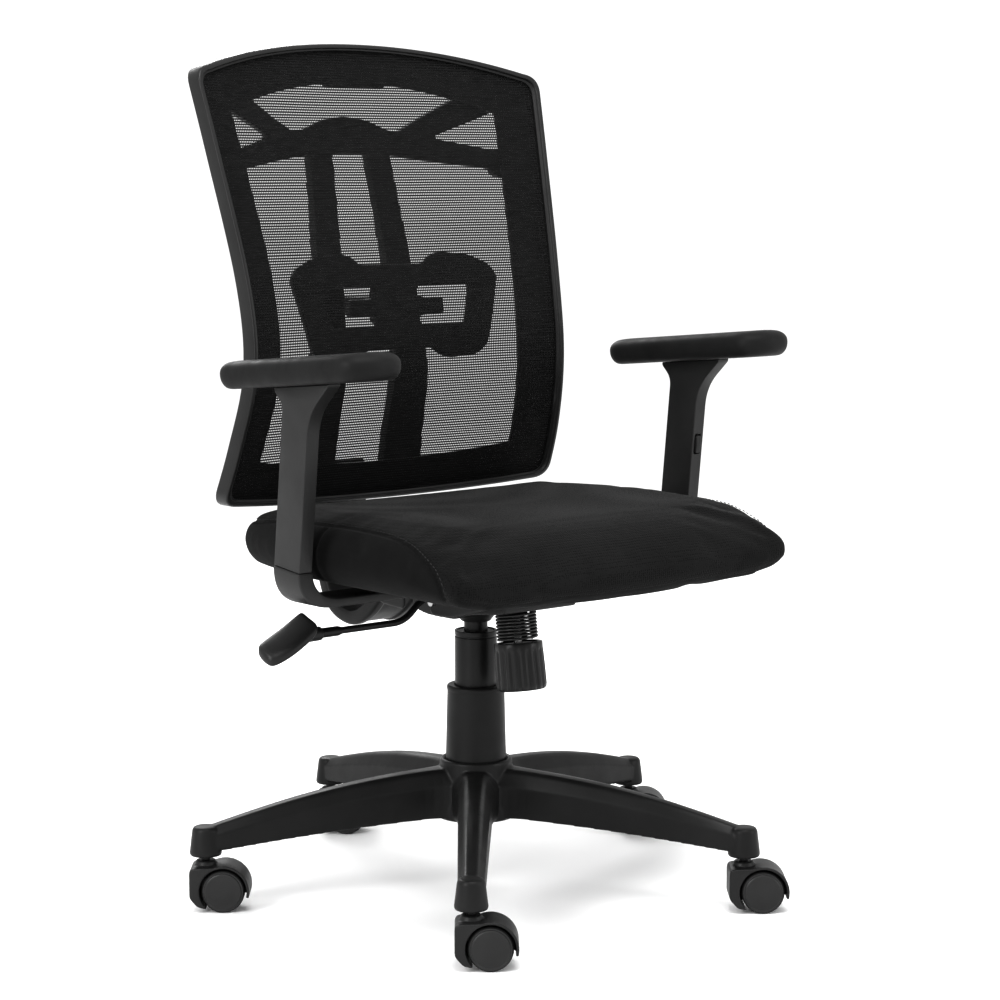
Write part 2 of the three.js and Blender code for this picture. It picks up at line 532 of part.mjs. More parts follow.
// The mesh surface: it follows the side rails and sags back between them, most of all at the top.
function backDepth(x, z) {
  const rise = (z - BACK.middle) / (BACK.crown - BACK.middle);
  const sag = BACK.sagMiddle + (BACK.sagTop - BACK.sagMiddle) * rise * rise;
  const across = Math.min(1, Math.abs(x) / backHalfWidth(z));
  return backSideDepth(z) + sag * (1 - across * across);
}

function backOutline(inset) {
  const r = Math.max(4, BACK.cornerRadius - inset * 0.5);
  const [low, high] = [BACK.bottom + inset, BACK.corner - inset];
  const half = (z) => backHalfWidth(z) - inset;
  const shape = new THREE.Shape();
  const steps = 6;
  shape.moveTo(0, low);
  shape.lineTo(half(low) - r, low);
  shape.quadraticCurveTo(half(low), low, half(low + r), low + r);
  for (let i = 1; i <= steps; i += 1) {
    const z = lerp(low + r, high - r, i / steps);
    shape.lineTo(half(z), z);
  }
  shape.quadraticCurveTo(half(high), high, half(high) - r, high + r * 0.15);
  shape.quadraticCurveTo(half(high) * 0.5, BACK.crown - inset, 0, BACK.crown - inset);
  shape.quadraticCurveTo(-half(high) * 0.5, BACK.crown - inset, r - half(high), high + r * 0.15);
  shape.quadraticCurveTo(-half(high), high, -half(high - r), high - r);
  for (let i = steps - 1; i >= 0; i -= 1) {
    const z = lerp(low + r, high - r, i / steps);
    shape.lineTo(-half(z), z);
  }
  shape.quadraticCurveTo(-half(low), low, r - half(low), low);
  return shape;
}

// A flat piece in X and Z whose Y is then carried onto a curved surface.
function bent(geometry, surface) {
  const at = geometry.attributes.position;
  for (let i = 0; i < at.count; i += 1) at.setY(i, at.getY(i) + surface(at.getX(i), at.getZ(i)));
  return geometry;
}

// A sheet on the mesh surface from front to rear of it, trimmed to the back's outline.
function backSheet(front, rear, inset, width) {
  const sheet = moulded([6, 9, 1], (u, v, w) => {
    const z = lerp(BACK.bottom - 4, BACK.crown + 4, (v + 1) / 2);
    const x = u * (backHalfWidth(z) + 4);
    return [x, backDepth(x, z) + (w < 0 ? front : rear), z];
  });
  const whole = common(sheet, alongY(backOutline(inset), 60, 320, 3));
  return width ? cut(whole, alongY(backOutline(inset + width), 50, 330, 3)) : whole;
}

// Rounded rim with a thin flange behind the mesh.
const rimRear = BACK.rimDepth - 8;
const backFrame = () => join(backSheet(-8, rimRear, 0, BACK.rim),
  backSheet(rimRear - BACK.flangeDepth, rimRear - 0.5, 2, BACK.flange - 2));

// The spine: two bars from the seat bar up to an arched head, with two bands to each side of the ring.
function spineSurface(x, z) {
  const reach = THREE.MathUtils.smoothstep(Math.abs(x), 75, 205);
  const ringRear = backDepth(x, z) + rimRear + 2;
  return lerp(spineDepth(z), ringRear, z > 700 ? reach : 0);
}

// A flat bar between two ends, each given as two [x, z] corners; it is bent onto the spine's surface.
function spineBar([a, b], [c, d], steps, depth = 14) {
  return moulded([1, 1, steps], (u, v, w) => {
    const [s, t] = [(u + 1) / 2, (w + 1) / 2];
    const x = lerp(lerp(a[0], b[0], s), lerp(c[0], d[0], s), t);
    const z = lerp(lerp(a[1], b[1], s), lerp(c[1], d[1], s), t);
    return [x, spineSurface(x, z) + (depth * (v + 1)) / 2, z];
  });
}

function backBracket() {
  const parts = [spineBar([[-84, 858], [-84, 905]], [[84, 858], [84, 905]], 6),
    spineBar([[-60, 903], [-50, 925]], [[60, 903], [50, 925]], 3),
    spineBar([[-100, 446], [-100, 482]], [[100, 446], [100, 482]], 2, 21)];
  [-1, 1].forEach((s) => {
    parts.push(spineBar([[s * 26, 870], [s * 64, 870]], [[s * 36, 700], [s * 77, 700]], 4));
    parts.push(spineBar([[s * 36, 705], [s * 77, 705]], [[s * 38, 620], [s * 97, 620]], 2));
    parts.push(spineBar([[s * 38, 625], [s * 97, 625]], [[s * 37, 470], [s * 104, 470]], 3));
    parts.push(spineBar([[s * 78, 880], [s * 78, 904]], [[s * 212, 938], [s * 200, 962]], 5));
    parts.push(spineBar([[s * 78, 860], [s * 78, 884]], [[s * 214, 838], [s * 214, 862]], 5));
  });
  return join(...parts);
}

// The seat bar runs back under the seat and curves up behind it to carry the spine.
const BAR = { halfWidth: 35, halfThick: 9, path: [[66, 378.5], [100, 376], [140, 354], [173, 324],
  [205, 311], [242, 323], [262, 358], [267, 410], [265, 500]] };

function backBar() {
  const curve = new THREE.SplineCurve(BAR.path.map(([y, z]) => new THREE.Vector2(y, z)));
  const bar = moulded([1, 1, 14], (u, v, w) => {
    const t = (w + 1) / 2;
    const at = curve.getPoint(t);
    const along = curve.getTangent(t);
    return [u * BAR.halfWidth, at.x - v * BAR.halfThick * along.y, at.y + v * BAR.halfThick * along.x];
  });
  return bar;
}

add(carried, 'back_frame', backFrame(), 'nylon');
add(carried, 'back_mesh', backSheet(-1, 1, BACK.rim + 1, 0), 'mesh');
add(carried, 'back_bracket', backBracket(), 'nylon');
add(carried, 'back_bar', backBar(), 'nylon');

// ---------------------------------------------------------------- lumbar support
// A pad with two windows just behind the mesh, and the block that guides it between the spine bars.
const LUMBAR = { offset: 8, depth: 9, low: 634, high: 758, halfWidth: 166, window: [36, 98, 672, 722],
  slider: { halfWidth: 30, low: 676, high: 722, rear: 228 } };

function lumbarSupport() {
  const slab = moulded([8, 4, 1], (u, v, w) => {
    const [x, z] = [u * LUMBAR.halfWidth, lerp(LUMBAR.low, LUMBAR.high, (v + 1) / 2)];
    return [x, backDepth(x, z) + LUMBAR.offset + (w > 0 ? LUMBAR.depth : 0), z];
  });
  const shape = outline([[126, 636], [156, 660], [164, 745], [140, 756], [128, 742], [-128, 742],
    [-140, 756], [-164, 745], [-156, 660], [-126, 636], [-100, 648], [100, 648]]);
  const [inner, outer, low, high] = LUMBAR.window;
  const windows = [[-outer, -inner], [inner, outer]].map((x) => block(x, [90, 190], [low, high]));
  return cut(common(slab, alongY(shape, 100, 180)), ...windows);
}

const lumbarSlider = moulded([1, 1, 3], (u, v, w) => {
  const { halfWidth, low, high, rear } = LUMBAR.slider;
  const z = lerp(low, high, (w + 1) / 2);
  const front = backDepth(0, z) + LUMBAR.offset + LUMBAR.depth + 2 * GAP;
  return [u * halfWidth, v < 0 ? front : rear, z];
});

add(carried, 'lumbar_support', lumbarSupport(), 'nylon');
add(carried, 'lumbar_slider', lumbarSlider, 'nylon');

export default chair;
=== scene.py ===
"""The looks of a swivel office chair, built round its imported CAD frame.

Shapes are drawn in millimetres round the gas lift's axis: +Z is up, the chair faces -Y and +X is the
sitter's left. finished() puts each one at its place in the frame, in metres.
"""

from math import cos, exp, hypot, pi, radians, sin, sqrt, tan

import bmesh
import bpy
from mathutils import Matrix, Vector
from mathutils.bvhtree import BVHTree
from mathutils.kdtree import KDTree


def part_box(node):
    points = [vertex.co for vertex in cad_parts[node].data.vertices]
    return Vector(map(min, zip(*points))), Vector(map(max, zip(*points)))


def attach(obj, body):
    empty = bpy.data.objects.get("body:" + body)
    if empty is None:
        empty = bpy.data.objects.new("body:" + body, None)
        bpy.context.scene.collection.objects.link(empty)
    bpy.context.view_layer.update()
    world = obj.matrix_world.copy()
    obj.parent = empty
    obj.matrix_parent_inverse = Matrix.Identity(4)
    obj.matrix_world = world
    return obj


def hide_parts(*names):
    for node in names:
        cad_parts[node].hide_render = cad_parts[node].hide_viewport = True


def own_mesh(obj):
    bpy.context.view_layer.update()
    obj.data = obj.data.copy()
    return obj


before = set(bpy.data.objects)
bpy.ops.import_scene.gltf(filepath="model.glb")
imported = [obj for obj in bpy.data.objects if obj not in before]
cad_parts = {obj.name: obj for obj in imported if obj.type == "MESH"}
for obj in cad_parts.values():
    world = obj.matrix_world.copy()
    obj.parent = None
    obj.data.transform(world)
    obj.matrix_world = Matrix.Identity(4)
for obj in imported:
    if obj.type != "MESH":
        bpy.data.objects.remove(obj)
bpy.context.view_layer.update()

MM = 0.001
tube_low, tube_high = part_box("gas_lift_tube")
AXIS = Vector(((tube_low.x + tube_high.x) / 2, (tube_low.y + tube_high.y) / 2, 0))
SPINDLE_TOP = 355  # drawn height of the spindle's end; all that it carries settles with it
CARRIED = Vector((AXIS.x, AXIS.y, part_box("gas_lift_spindle")[1].z - SPINDLE_TOP * MM))

# ---- driving sizes, in millimetres
LEG_COUNT = 5
FIRST_LEG = -40.4  # degrees from -Y towards +X
STEM_CIRCLE = 328
LEG = {"root": 30, "top": (150, 97), "bottom": (92, 64), "half_width": (21, 15), "wall": 4.2}
HUB_BORE = 25.7
CASTER = {"trail": 21, "azimuth": -39.5, "wheel": 25, "inner": 5.8, "outer": 22.8, "hood": 30.5}
TUBE = {"radius": 25, "inner": 22, "bottom": 84, "top": 312}
PIVOT = (-30, 366)
TENSION = {"at": (0, -80.9, 288), "lean": 7.5, "half_height": 28, "spring": 22.6, "wire": 1.7, "turns": 8,
           "spring_top": 63.6}
SEAT = {"half_width": 263, "front": -282, "rear": 168, "top": 480, "bottom": 403.3, "pan": (194, 172, -52)}
ARM = {"x": 292, "foot": (-38, 425), "lean": 6, "bracket": 10, "sleeve": 8.8, "half_deep": 24,
       "flare": (33, 17), "pad_at": (0, -9, 223), "pad_tilt": -11.3, "pad": (87, 270, 31.5),
       "upright": (5.4, 17, 185)}
BACK = {"bottom": 459, "low_corner": 471, "corner": 978, "crown": 1012.5, "corner_radius": 20,
        "end_inset": 0.87,  # the rim and flange are this much narrower at the top and bottom
        "sag_middle": 14, "sag_top": 36, "middle": 680}
BACK_SIDE = [(459, 251.5, 170), (540, 245.5, 138), (630, 237, 118), (730, 238, 129),
             (880, 251, 168), (1014, 263.5, 206)]
SPINE_FRONT = [(440, 234), (520, 223), (620, 201), (720, 209), (820, 228), (925, 252)]
BAR_PATH = [(66, 378.5), (100, 376), (140, 354), (173, 324), (205, 311), (242, 323), (262, 358),
            (267, 410), (265, 500)]


# ---- small maths
def lerp(a, b, t):
    return a + (b - a) * t


def clamp(x, low=0.0, high=1.0):
    return max(low, min(high, x))


def smoothstep(x, start, end):
    t = clamp((x - start) / (end - start))
    return t * t * (3 - 2 * t)


def spline(points, t):
    """A Catmull-Rom curve through the points, read at t from 0 to 1."""
    last = len(points) - 1
    k = min(int(t * last), last - 1)
    f = t * last - k
    at = [Vector(points[clamp(k + i, 0, last)]) for i in (-1, 0, 1, 2)]
    return 0.5 * (2 * at[1] + (at[2] - at[0]) * f + (2 * at[0] - 5 * at[1] + 4 * at[2] - at[3]) * f ** 2
                  + (3 * (at[1] - at[2]) + at[3] - at[0]) * f ** 3)


def table(points, column):
    """A smooth function of height through [height, value, ...] points."""
    steps = 60
    read_at = [spline([(p[0], p[column]) for p in points], i / steps) for i in range(steps + 1)]

    def read(z):
        z = clamp(z, read_at[0][0], read_at[-1][0])
        k = next(i for i in range(1, steps + 1) if read_at[i][0] >= z - 1e-9)
        share = (z - read_at[k - 1][0]) / (read_at[k][0] - read_at[k - 1][0])
        return lerp(read_at[k - 1][1], read_at[k][1], share)
    return read


def curve(a, b, c, steps):
    """Points from a towards c, bending towards b; c itself is left out."""
    a, b, c = Vector(a), Vector(b), Vector(c)
    return [a * (1 - t) ** 2 + b * 2 * t * (1 - t) + c * t * t for t in (i / steps for i in range(steps))]


def filleted(points, radius, steps=5, closed=True):
    """An outline with its corners rounded. radius is one number, or one for each point."""
    count = len(points)
    radii = radius if isinstance(radius, (list, tuple)) else [radius] * count
    out = []
    for i, p in enumerate(points):
        if not closed and i in (0, count - 1):
            out.append(tuple(p))
            continue
        a, b, c = Vector(points[i - 1]), Vector(p), Vector(points[(i + 1) % count])
        reach = min(radii[i], 0.48 * (a - b).length, 0.48 * (c - b).length)
        if reach < 1e-3:
            out.append(tuple(p))
            continue
        start, end = b + (a - b).normalized() * reach, b + (c - b).normalized() * reach
        out += [tuple(q) for q in curve(start, b, end, steps)] + [tuple(end)]
    return out


def arc(centre, radius, start, end, steps):
    """Points on a circle from one angle to another, in degrees."""
    angles = [radians(lerp(start, end, i / steps)) for i in range(steps + 1)]
    return [(centre[0] + radius * cos(a), centre[1] + radius * sin(a)) for a in angles]


# ---- shapes: (points, faces) in mm
def loft(rings, cyclic=False, caps=True):
    """A skin over rings of equal count; cyclic joins the last ring to the first."""
    n = len(rings[0])
    points = [Vector(p) for ring in rings for p in ring]
    faces = []
    for k in range(len(rings) if cyclic else len(rings) - 1):
        a, b = k * n, ((k + 1) % len(rings)) * n
        faces += [(a + i, a + (i + 1) % n, b + (i + 1) % n, b + i) for i in range(n)]
    if caps and not cyclic:
        faces += [tuple(range(n)), tuple(range(len(points) - n, len(points)))]
    return points, faces


def lathe(profile, segments=64):
    """A solid of revolution round Z. The profile starts and ends on the axis, or closes on itself."""
    on_axis = profile[0][0] < 1e-6
    body = profile[1:-1] if on_axis else profile
    turn = [(cos(2 * pi * i / segments), sin(2 * pi * i / segments)) for i in range(segments)]
    points, faces = loft([[(r * c, r * s, z) for c, s in turn] for r, z in body], not on_axis, False)
    if on_axis:
        for at, ring in ((profile[0], 0), (profile[-1], len(body) - 1)):
            points.append(Vector((0, 0, at[1])))
            pole = len(points) - 1
            faces += [(pole, ring * segments + i, ring * segments + (i + 1) % segments)
                      for i in range(segments)]
    return points, faces


def prism(outline, low, high, along="z"):
    """An outline run from low to high along an axis; its own two axes are the other two, in order."""
    place = {"x": lambda a, b, c: (c, a, b), "y": lambda a, b, c: (a, c, b), "z": lambda a, b, c: (a, b, c)}
    return loft([[place[along](a, b, level) for a, b in outline] for level in (low, high)])


def moulded(cuts, place):
    """A cube cut into steps whose points, each -1 to 1, are carried elsewhere by place(u, v, w)."""
    index, points, faces = {}, [], []

    def corner(p):
        if p not in index:
            index[p] = len(points)
            points.append(Vector(place(*(2 * p[k] / cuts[k] - 1 for k in range(3)))))
        return index[p]

    for axis in range(3):
        a, b = (axis + 1) % 3, (axis + 2) % 3
        for side in (0, cuts[axis]):
            for i in range(cuts[a]):
                for j in range(cuts[b]):
                    face = []
                    for di, dj in ((0, 0), (1, 0), (1, 1), (0, 1)):
                        p = [0, 0, 0]
                        p[axis], p[a], p[b] = side, i + di, j + dj
                        face.append(corner(tuple(p)))
                    faces.append(tuple(face))
    return points, faces


def block(x, y, z):
    """A box between two values on each axis."""
    return moulded((1, 1, 1), lambda u, v, w: tuple(lerp(s[0], s[1], (t + 1) / 2)
                                                    for s, t in ((x, u), (y, v), (z, w))))


def swept(path, section):
    """A section of (side, up) points run along a path, without twist."""
    rings, side = [], None
    for i, p in enumerate(path):
        forward = (Vector(path[min(i + 1, len(path) - 1)]) - Vector(path[max(i - 1, 0)])).normalized()
        if side is None:
            side = forward.cross(Vector((0, 0, 1)) if abs(forward.z) < 0.9 else Vector((1, 0, 0)))
        side = (side - forward * side.dot(forward)).normalized()
        up = side.cross(forward)
        rings.append([Vector(p) + side * a + up * b for a, b in section])
    return loft(rings)


def disc(radius, sides=12):
    return [(radius * cos(2 * pi * i / sides), radius * sin(2 * pi * i / sides)) for i in range(sides)]


def moved(shape, matrix):
    return [matrix @ p for p in shape[0]], shape[1]


def shift(x, y, z):
    return Matrix.Translation((x, y, z))


def turn(degrees, axis):
    return Matrix.Rotation(radians(degrees), 4, axis)


# ---- objects
def face_out(mesh):
    grid = bmesh.new()
    grid.from_mesh(mesh)
    bmesh.ops.recalc_face_normals(grid, faces=grid.faces)
    grid.to_mesh(mesh)
    grid.free()


def made(name, *shapes):
    """One object from shapes, in metres round the column's axis, with its faces pointing out."""
    points, faces = [], []
    for shape in shapes:
        faces += [tuple(i + len(points) for i in face) for face in shape[1]]
        points += [p * MM for p in shape[0]]
    mesh = bpy.data.meshes.new(name)
    mesh.from_pydata(points, [], faces)
    face_out(mesh)
    obj = bpy.data.objects.new(name, mesh)
    bpy.context.scene.collection.objects.link(obj)
    return obj


def settled(obj):
    """obj with its modifiers applied."""
    bpy.context.view_layer.update()
    graph = bpy.context.evaluated_depsgraph_get()
    mesh = bpy.data.meshes.new_from_object(obj.evaluated_get(graph))
    obj.modifiers.clear()
    obj.data = mesh
    return obj


def add(obj, kind, **settings):
    modifier = obj.modifiers.new(kind.title(), kind)
    for key, value in settings.items():
        setattr(modifier, key, value)
    return obj


def bevelled(obj, width, segments):
    add(obj, "BEVEL", width=width * MM, segments=segments, limit_method="ANGLE", angle_limit=radians(30),
        use_clamp_overlap=True, miter_outer="MITER_ARC")
    return settled(obj)


def fused(obj, voxel, rounds, keep):
    """Overlapping closed shapes made one skin, smoothed a few rounds; keep is the share of faces kept."""
    add(obj, "REMESH", mode="VOXEL", voxel_size=voxel * MM, adaptivity=0)
    add(obj, "SMOOTH", factor=0.5, iterations=rounds)
    add(obj, "DECIMATE", ratio=keep)
    return settled(obj)


def subdivided(obj, levels=2):
    add(obj, "SUBSURF", levels=levels, render_levels=levels)
    return settled(obj)


def bent(obj, surface):
    """Every point carried by surface(x, y, z), in millimetres."""
    for v in obj.data.vertices:
        v.co = Vector(surface(*(v.co / MM))) * MM
    return obj


def finished(obj, look, body, replaces=(), sharp=40):
    """obj with its material, at its place in the frame, riding on its body."""
    grounded = body == "base" or body.startswith(("caster", "wheels"))
    obj.data.transform(Matrix.Translation(AXIS if grounded else CARRIED))
    for polygon in obj.data.polygons:
        polygon.use_smooth = True
    if sharp:
        obj.data.set_sharp_from_angle(angle=radians(sharp))
    if not obj.data.materials:
        obj.data.materials.append(look)
    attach(obj, body)
    if replaces:
        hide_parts(*replaces)
    return obj


# ---- materials
class Nodes:
    """A material's node tree, with short calls for the nodes that the looks use."""

    def __init__(self, name):
        self.material = bpy.data.materials.new(name)
        self.material.use_nodes = True
        self.tree = self.material.node_tree
        self.shader = self.tree.nodes["Principled BSDF"]
        self.place = self.node("ShaderNodeTexCoord").outputs["Object"]

    def node(self, kind, **settings):
        node = self.tree.nodes.new(kind)
        for key, value in settings.items():
            setattr(node, key, value)
        return node

    def link(self, source, target):
        if isinstance(source, (int, float)):
            target.default_value = source
        else:
            self.tree.links.new(source, target)

    def stretched(self, x, y, z):
        node = self.node("ShaderNodeMapping")
        node.inputs["Scale"].default_value = (x, y, z)
        self.link(self.place, node.inputs["Vector"])
        return node.outputs["Vector"]

    def noise(self, scale, detail=2, place=None):
        node = self.node("ShaderNodeTexNoise")
        node.inputs["Scale"].default_value = scale
        node.inputs["Detail"].default_value = detail
        self.link(place or self.place, node.inputs["Vector"])
        return node.outputs["Fac"]

    def cells(self, scale, randomness, place=None):
        node = self.node("ShaderNodeTexVoronoi", feature="SMOOTH_F1")
        node.inputs["Scale"].default_value = scale
        node.inputs["Randomness"].default_value = randomness
        node.inputs["Smoothness"].default_value = 0.2
        self.link(place or self.place, node.inputs["Vector"])
        return node.outputs["Distance"]

    def coordinates(self, *names):
        node = self.node("ShaderNodeSeparateXYZ")
        self.link(self.place, node.inputs[0])
        return [node.outputs[name] for name in names]

    def maths(self, operation, a, b=0.0):
        node = self.node("ShaderNodeMath", operation=operation)
        self.link(a, node.inputs[0])
        self.link(b, node.inputs[1])
        return node.outputs[0]

    def between(self, value, low, high, to_low=0.0, to_high=1.0):
        node = self.node("ShaderNodeMapRange")
        for key, number in zip(("From Min", "From Max", "To Min", "To Max"), (low, high, to_low, to_high)):
            node.inputs[key].default_value = number
        self.link(value, node.inputs["Value"])
        return node.outputs["Result"]

    def mixed(self, share, dark, light):
        node = self.node("ShaderNodeMix", data_type="RGBA")
        self.link(share, node.inputs["Factor"])
        for socket, colour in ((node.inputs["A"], dark), (node.inputs["B"], light)):
            if isinstance(colour, tuple):
                socket.default_value = (*colour, 1)
            else:
                self.link(colour, socket)
        return node.outputs["Result"]

    def bump(self, height, distance, strength=1.0, normal=None):
        node = self.node("ShaderNodeBump")
        node.inputs["Distance"].default_value = distance
        node.inputs["Strength"].default_value = strength
        self.link(height, node.inputs["Height"])
        if normal:
            self.link(normal, node.inputs["Normal"])
        return node.outputs["Normal"]

    def finish(self, **sockets):
        for name, value in sockets.items():
            socket = self.shader.inputs[name.replace("_", " ")]
            if isinstance(value, tuple):
                socket.default_value = (*value, 1)
            else:
                self.link(value, socket)
        return self.material


def grey(value, warm=0.0):
    return (value * (1 + warm), value, value * (1 - warm))


def moulding(name, dark, light, roughness, gloss=0.3, depth=0.00006, wear=0.03):
    """Moulded plastic: a fine spark-eroded grain, faint mottling and edges polished by handling."""
    n = Nodes(name)
    mottle = n.between(n.noise(14, 4), 0.35, 0.7)
    colour = n.mixed(mottle, grey(dark), grey(light))
    edge = n.between(n.node("ShaderNodeNewGeometry").outputs["Pointiness"], 0.53, 0.62)
    worn = n.maths("MULTIPLY", edge, n.between(n.noise(45, 3), 0.3, 0.7))
    colour = n.mixed(worn, colour, grey(wear))
    rough = n.between(n.noise(30, 4), 0.3, 0.7, roughness - 0.06, roughness + 0.07)
    grain = n.bump(n.noise(1400, 2), depth)
    waviness = n.bump(n.noise(22, 1), 0.0006, 0.25, grain)
    return n.finish(Base_Color=colour, Roughness=rough, Normal=waviness, Specular_IOR_Level=gloss)


def metal(name, colour, roughness, metallic):
    """Steel with fine drawn lines along its length and a few duller patches."""
    n = Nodes(name)
    streak = n.noise(1, 3, n.stretched(600, 600, 20))
    tone = n.mixed(n.between(streak, 0.3, 0.7), grey(colour * 0.85), grey(colour))
    rough = n.between(n.noise(25, 4), 0.3, 0.7, roughness - 0.05, roughness + 0.08)
    return n.finish(Base_Color=tone, Roughness=rough, Normal=n.bump(streak, 0.00003), Metallic=metallic)


def painted(name, dark, light, roughness):
    """Powder coat on steel: an even orange-peel skin."""
    n = Nodes(name)
    peel = n.noise(520, 2)
    colour = n.mixed(n.between(n.noise(18, 4), 0.3, 0.7), grey(dark), grey(light))
    rough = n.between(peel, 0.3, 0.7, roughness - 0.05, roughness + 0.06)
    return n.finish(Base_Color=colour, Roughness=rough, Normal=n.bump(peel, 0.00012),
                    Specular_IOR_Level=0.35)


def pad_skin():
    """The soft skin of an arm pad: fine pores under a satin finish."""
    n = Nodes("pad_skin")
    pores = n.cells(900, 0.9)
    folds = n.noise(160, 4)
    colour = n.mixed(n.between(n.noise(20, 3), 0.3, 0.7), grey(0.011), grey(0.017))
    rough = n.between(n.noise(60, 4), 0.3, 0.7, 0.50, 0.62)
    skin = n.bump(pores, 0.00012, 0.6, n.bump(folds, 0.00018, 0.5))
    return n.finish(Base_Color=colour, Roughness=rough, Normal=skin, Specular_IOR_Level=0.2)


def air_mesh():
    """Seat cover: a knitted spacer fabric with rows of small cells, their hollows darkened with painted
    shade.
    """
    n = Nodes("air_mesh")
    cell = n.cells(1, 0.35, n.stretched(330, 400, 400))
    deep = n.between(cell, 0.12, 0.5)
    patch = n.between(n.noise(9, 4), 0.35, 0.68)
    rib = n.mixed(patch, grey(0.007), grey(0.013))
    # painted shade: the cells' hollows, low in deep, are coloured near black as if in shadow
    colour = n.mixed(deep, grey(0.002), rib)
    fuzz = n.noise(2600, 2)
    skin = n.bump(deep, 0.00055, 0.9, n.bump(fuzz, 0.0001, 0.6))
    return n.finish(Base_Color=colour, Roughness=n.between(fuzz, 0.3, 0.7, 0.7, 0.95), Normal=skin,
                    Specular_IOR_Level=0.15, Sheen_Weight=0.06, Sheen_Roughness=0.4)


def side_cloth():
    """Side panels: a plain close weave."""
    n = Nodes("side_cloth")
    threads = [n.maths("SINE", n.maths("MULTIPLY", way, 5200.0)) for way in n.coordinates("Y", "Z")]
    weave = n.maths("MULTIPLY", *threads)
    patch = n.between(n.noise(16, 4), 0.3, 0.7)
    colour = n.mixed(patch, grey(0.005), grey(0.009))
    skin = n.bump(weave, 0.00012, 0.8, n.bump(n.noise(1200, 3), 0.0001, 0.6))
    return n.finish(Base_Color=colour, Roughness=0.88, Normal=skin, Specular_IOR_Level=0.12,
                    Sheen_Weight=0.04, Sheen_Roughness=0.5)


def back_weave():
    """The back's stretched mesh: close rows of thread across, thinner threads down, and air between."""
    n = Nodes("back_weave")
    x, z = n.coordinates("X", "Z")
    drift = n.between(n.noise(1, 2, n.stretched(5, 5, 40)), 0.0, 1.0, -0.0012, 0.0012)
    row, line = 0.0031, 0.0027
    rows = n.maths("PINGPONG", n.maths("ADD", z, drift), row / 2)
    lines = n.maths("PINGPONG", n.maths("ADD", x, drift), line / 2)
    gap_rows = n.between(rows, 0.00065, 0.00118)
    gap_lines = n.between(lines, 0.00042, 0.00074)
    air = n.maths("MULTIPLY", gap_rows, gap_lines)
    strand = n.noise(1, 2, n.stretched(60, 60, 900))
    colour = n.mixed(n.between(strand, 0.3, 0.7), grey(0.008), grey(0.02))
    height = n.maths("ADD", rows, lines)
    skin = n.bump(height, 0.3, 0.4)
    return n.finish(Base_Color=colour, Roughness=0.7, Normal=skin, Specular_IOR_Level=0.1,
                    Alpha=n.maths("SUBTRACT", 1.0, air))


def rubber(name, dark, light):
    """Wheel tread: dull, with faint scuffs."""
    n = Nodes(name)
    scuff = n.noise(1, 4, n.stretched(150, 150, 600))
    colour = n.mixed(n.between(scuff, 0.4, 0.75), grey(dark), grey(light))
    rough = n.between(scuff, 0.3, 0.7, 0.5, 0.66)
    return n.finish(Base_Color=colour, Roughness=rough, Normal=n.bump(n.noise(700, 3), 0.00008),
                    Specular_IOR_Level=0.3)


LOOK = {
    "base": moulding("base_nylon", 0.011, 0.016, 0.42, gloss=0.25),
    "frame": moulding("frame_nylon", 0.013, 0.019, 0.40, gloss=0.36, wear=0.045),
    "spine": moulding("spine_nylon", 0.019, 0.026, 0.46, gloss=0.3),
    "arm": moulding("arm_nylon", 0.018, 0.025, 0.46, gloss=0.44, depth=0.00009),
    "caster": moulding("caster_nylon", 0.013, 0.019, 0.42, gloss=0.36),
    "wheel": moulding("wheel_nylon", 0.018, 0.026, 0.38, gloss=0.4, wear=0.06),
    "knob": moulding("knob_nylon", 0.009, 0.015, 0.33, gloss=0.36, wear=0.045),
    "tread": rubber("tread_rubber", 0.010, 0.018),
    "tube": painted("tube_coat", 0.006, 0.009, 0.38),
    "press": painted("pressing_coat", 0.008, 0.011, 0.42),
    "spring": metal("spring_steel", 0.05, 0.34, 0.8),
    "steel": metal("bright_steel", 0.52, 0.26, 1.0),
    "pad": pad_skin(),
    "seat": air_mesh(),
    "side": side_cloth(),
    "mesh": back_weave(),
}


# ---- camera, floor and light
CAMERA_FROM_AXIS = Vector((-1.984, -2.409, 0.8574))  # metres
CAMERA_DOWN, CAMERA_ROUND = 7.14, -40.0  # degrees
LENS, SENSOR = 96.05, 36
SOFT_BOXES = (  # name, place, width and height in metres, power in watts
    ("key_left", (-2.6, -0.2, 1.5), (0.8, 1.8), 46),
    ("fill_right", (1.6, -2.4, 1.2), (0.6, 1.6), 20),
    ("top", (-0.3, -0.9, 2.6), (1.2, 1.2), 38),
    ("rim_rear", (0.6, 2.4, 1.8), (1.6, 0.8), 36),
)


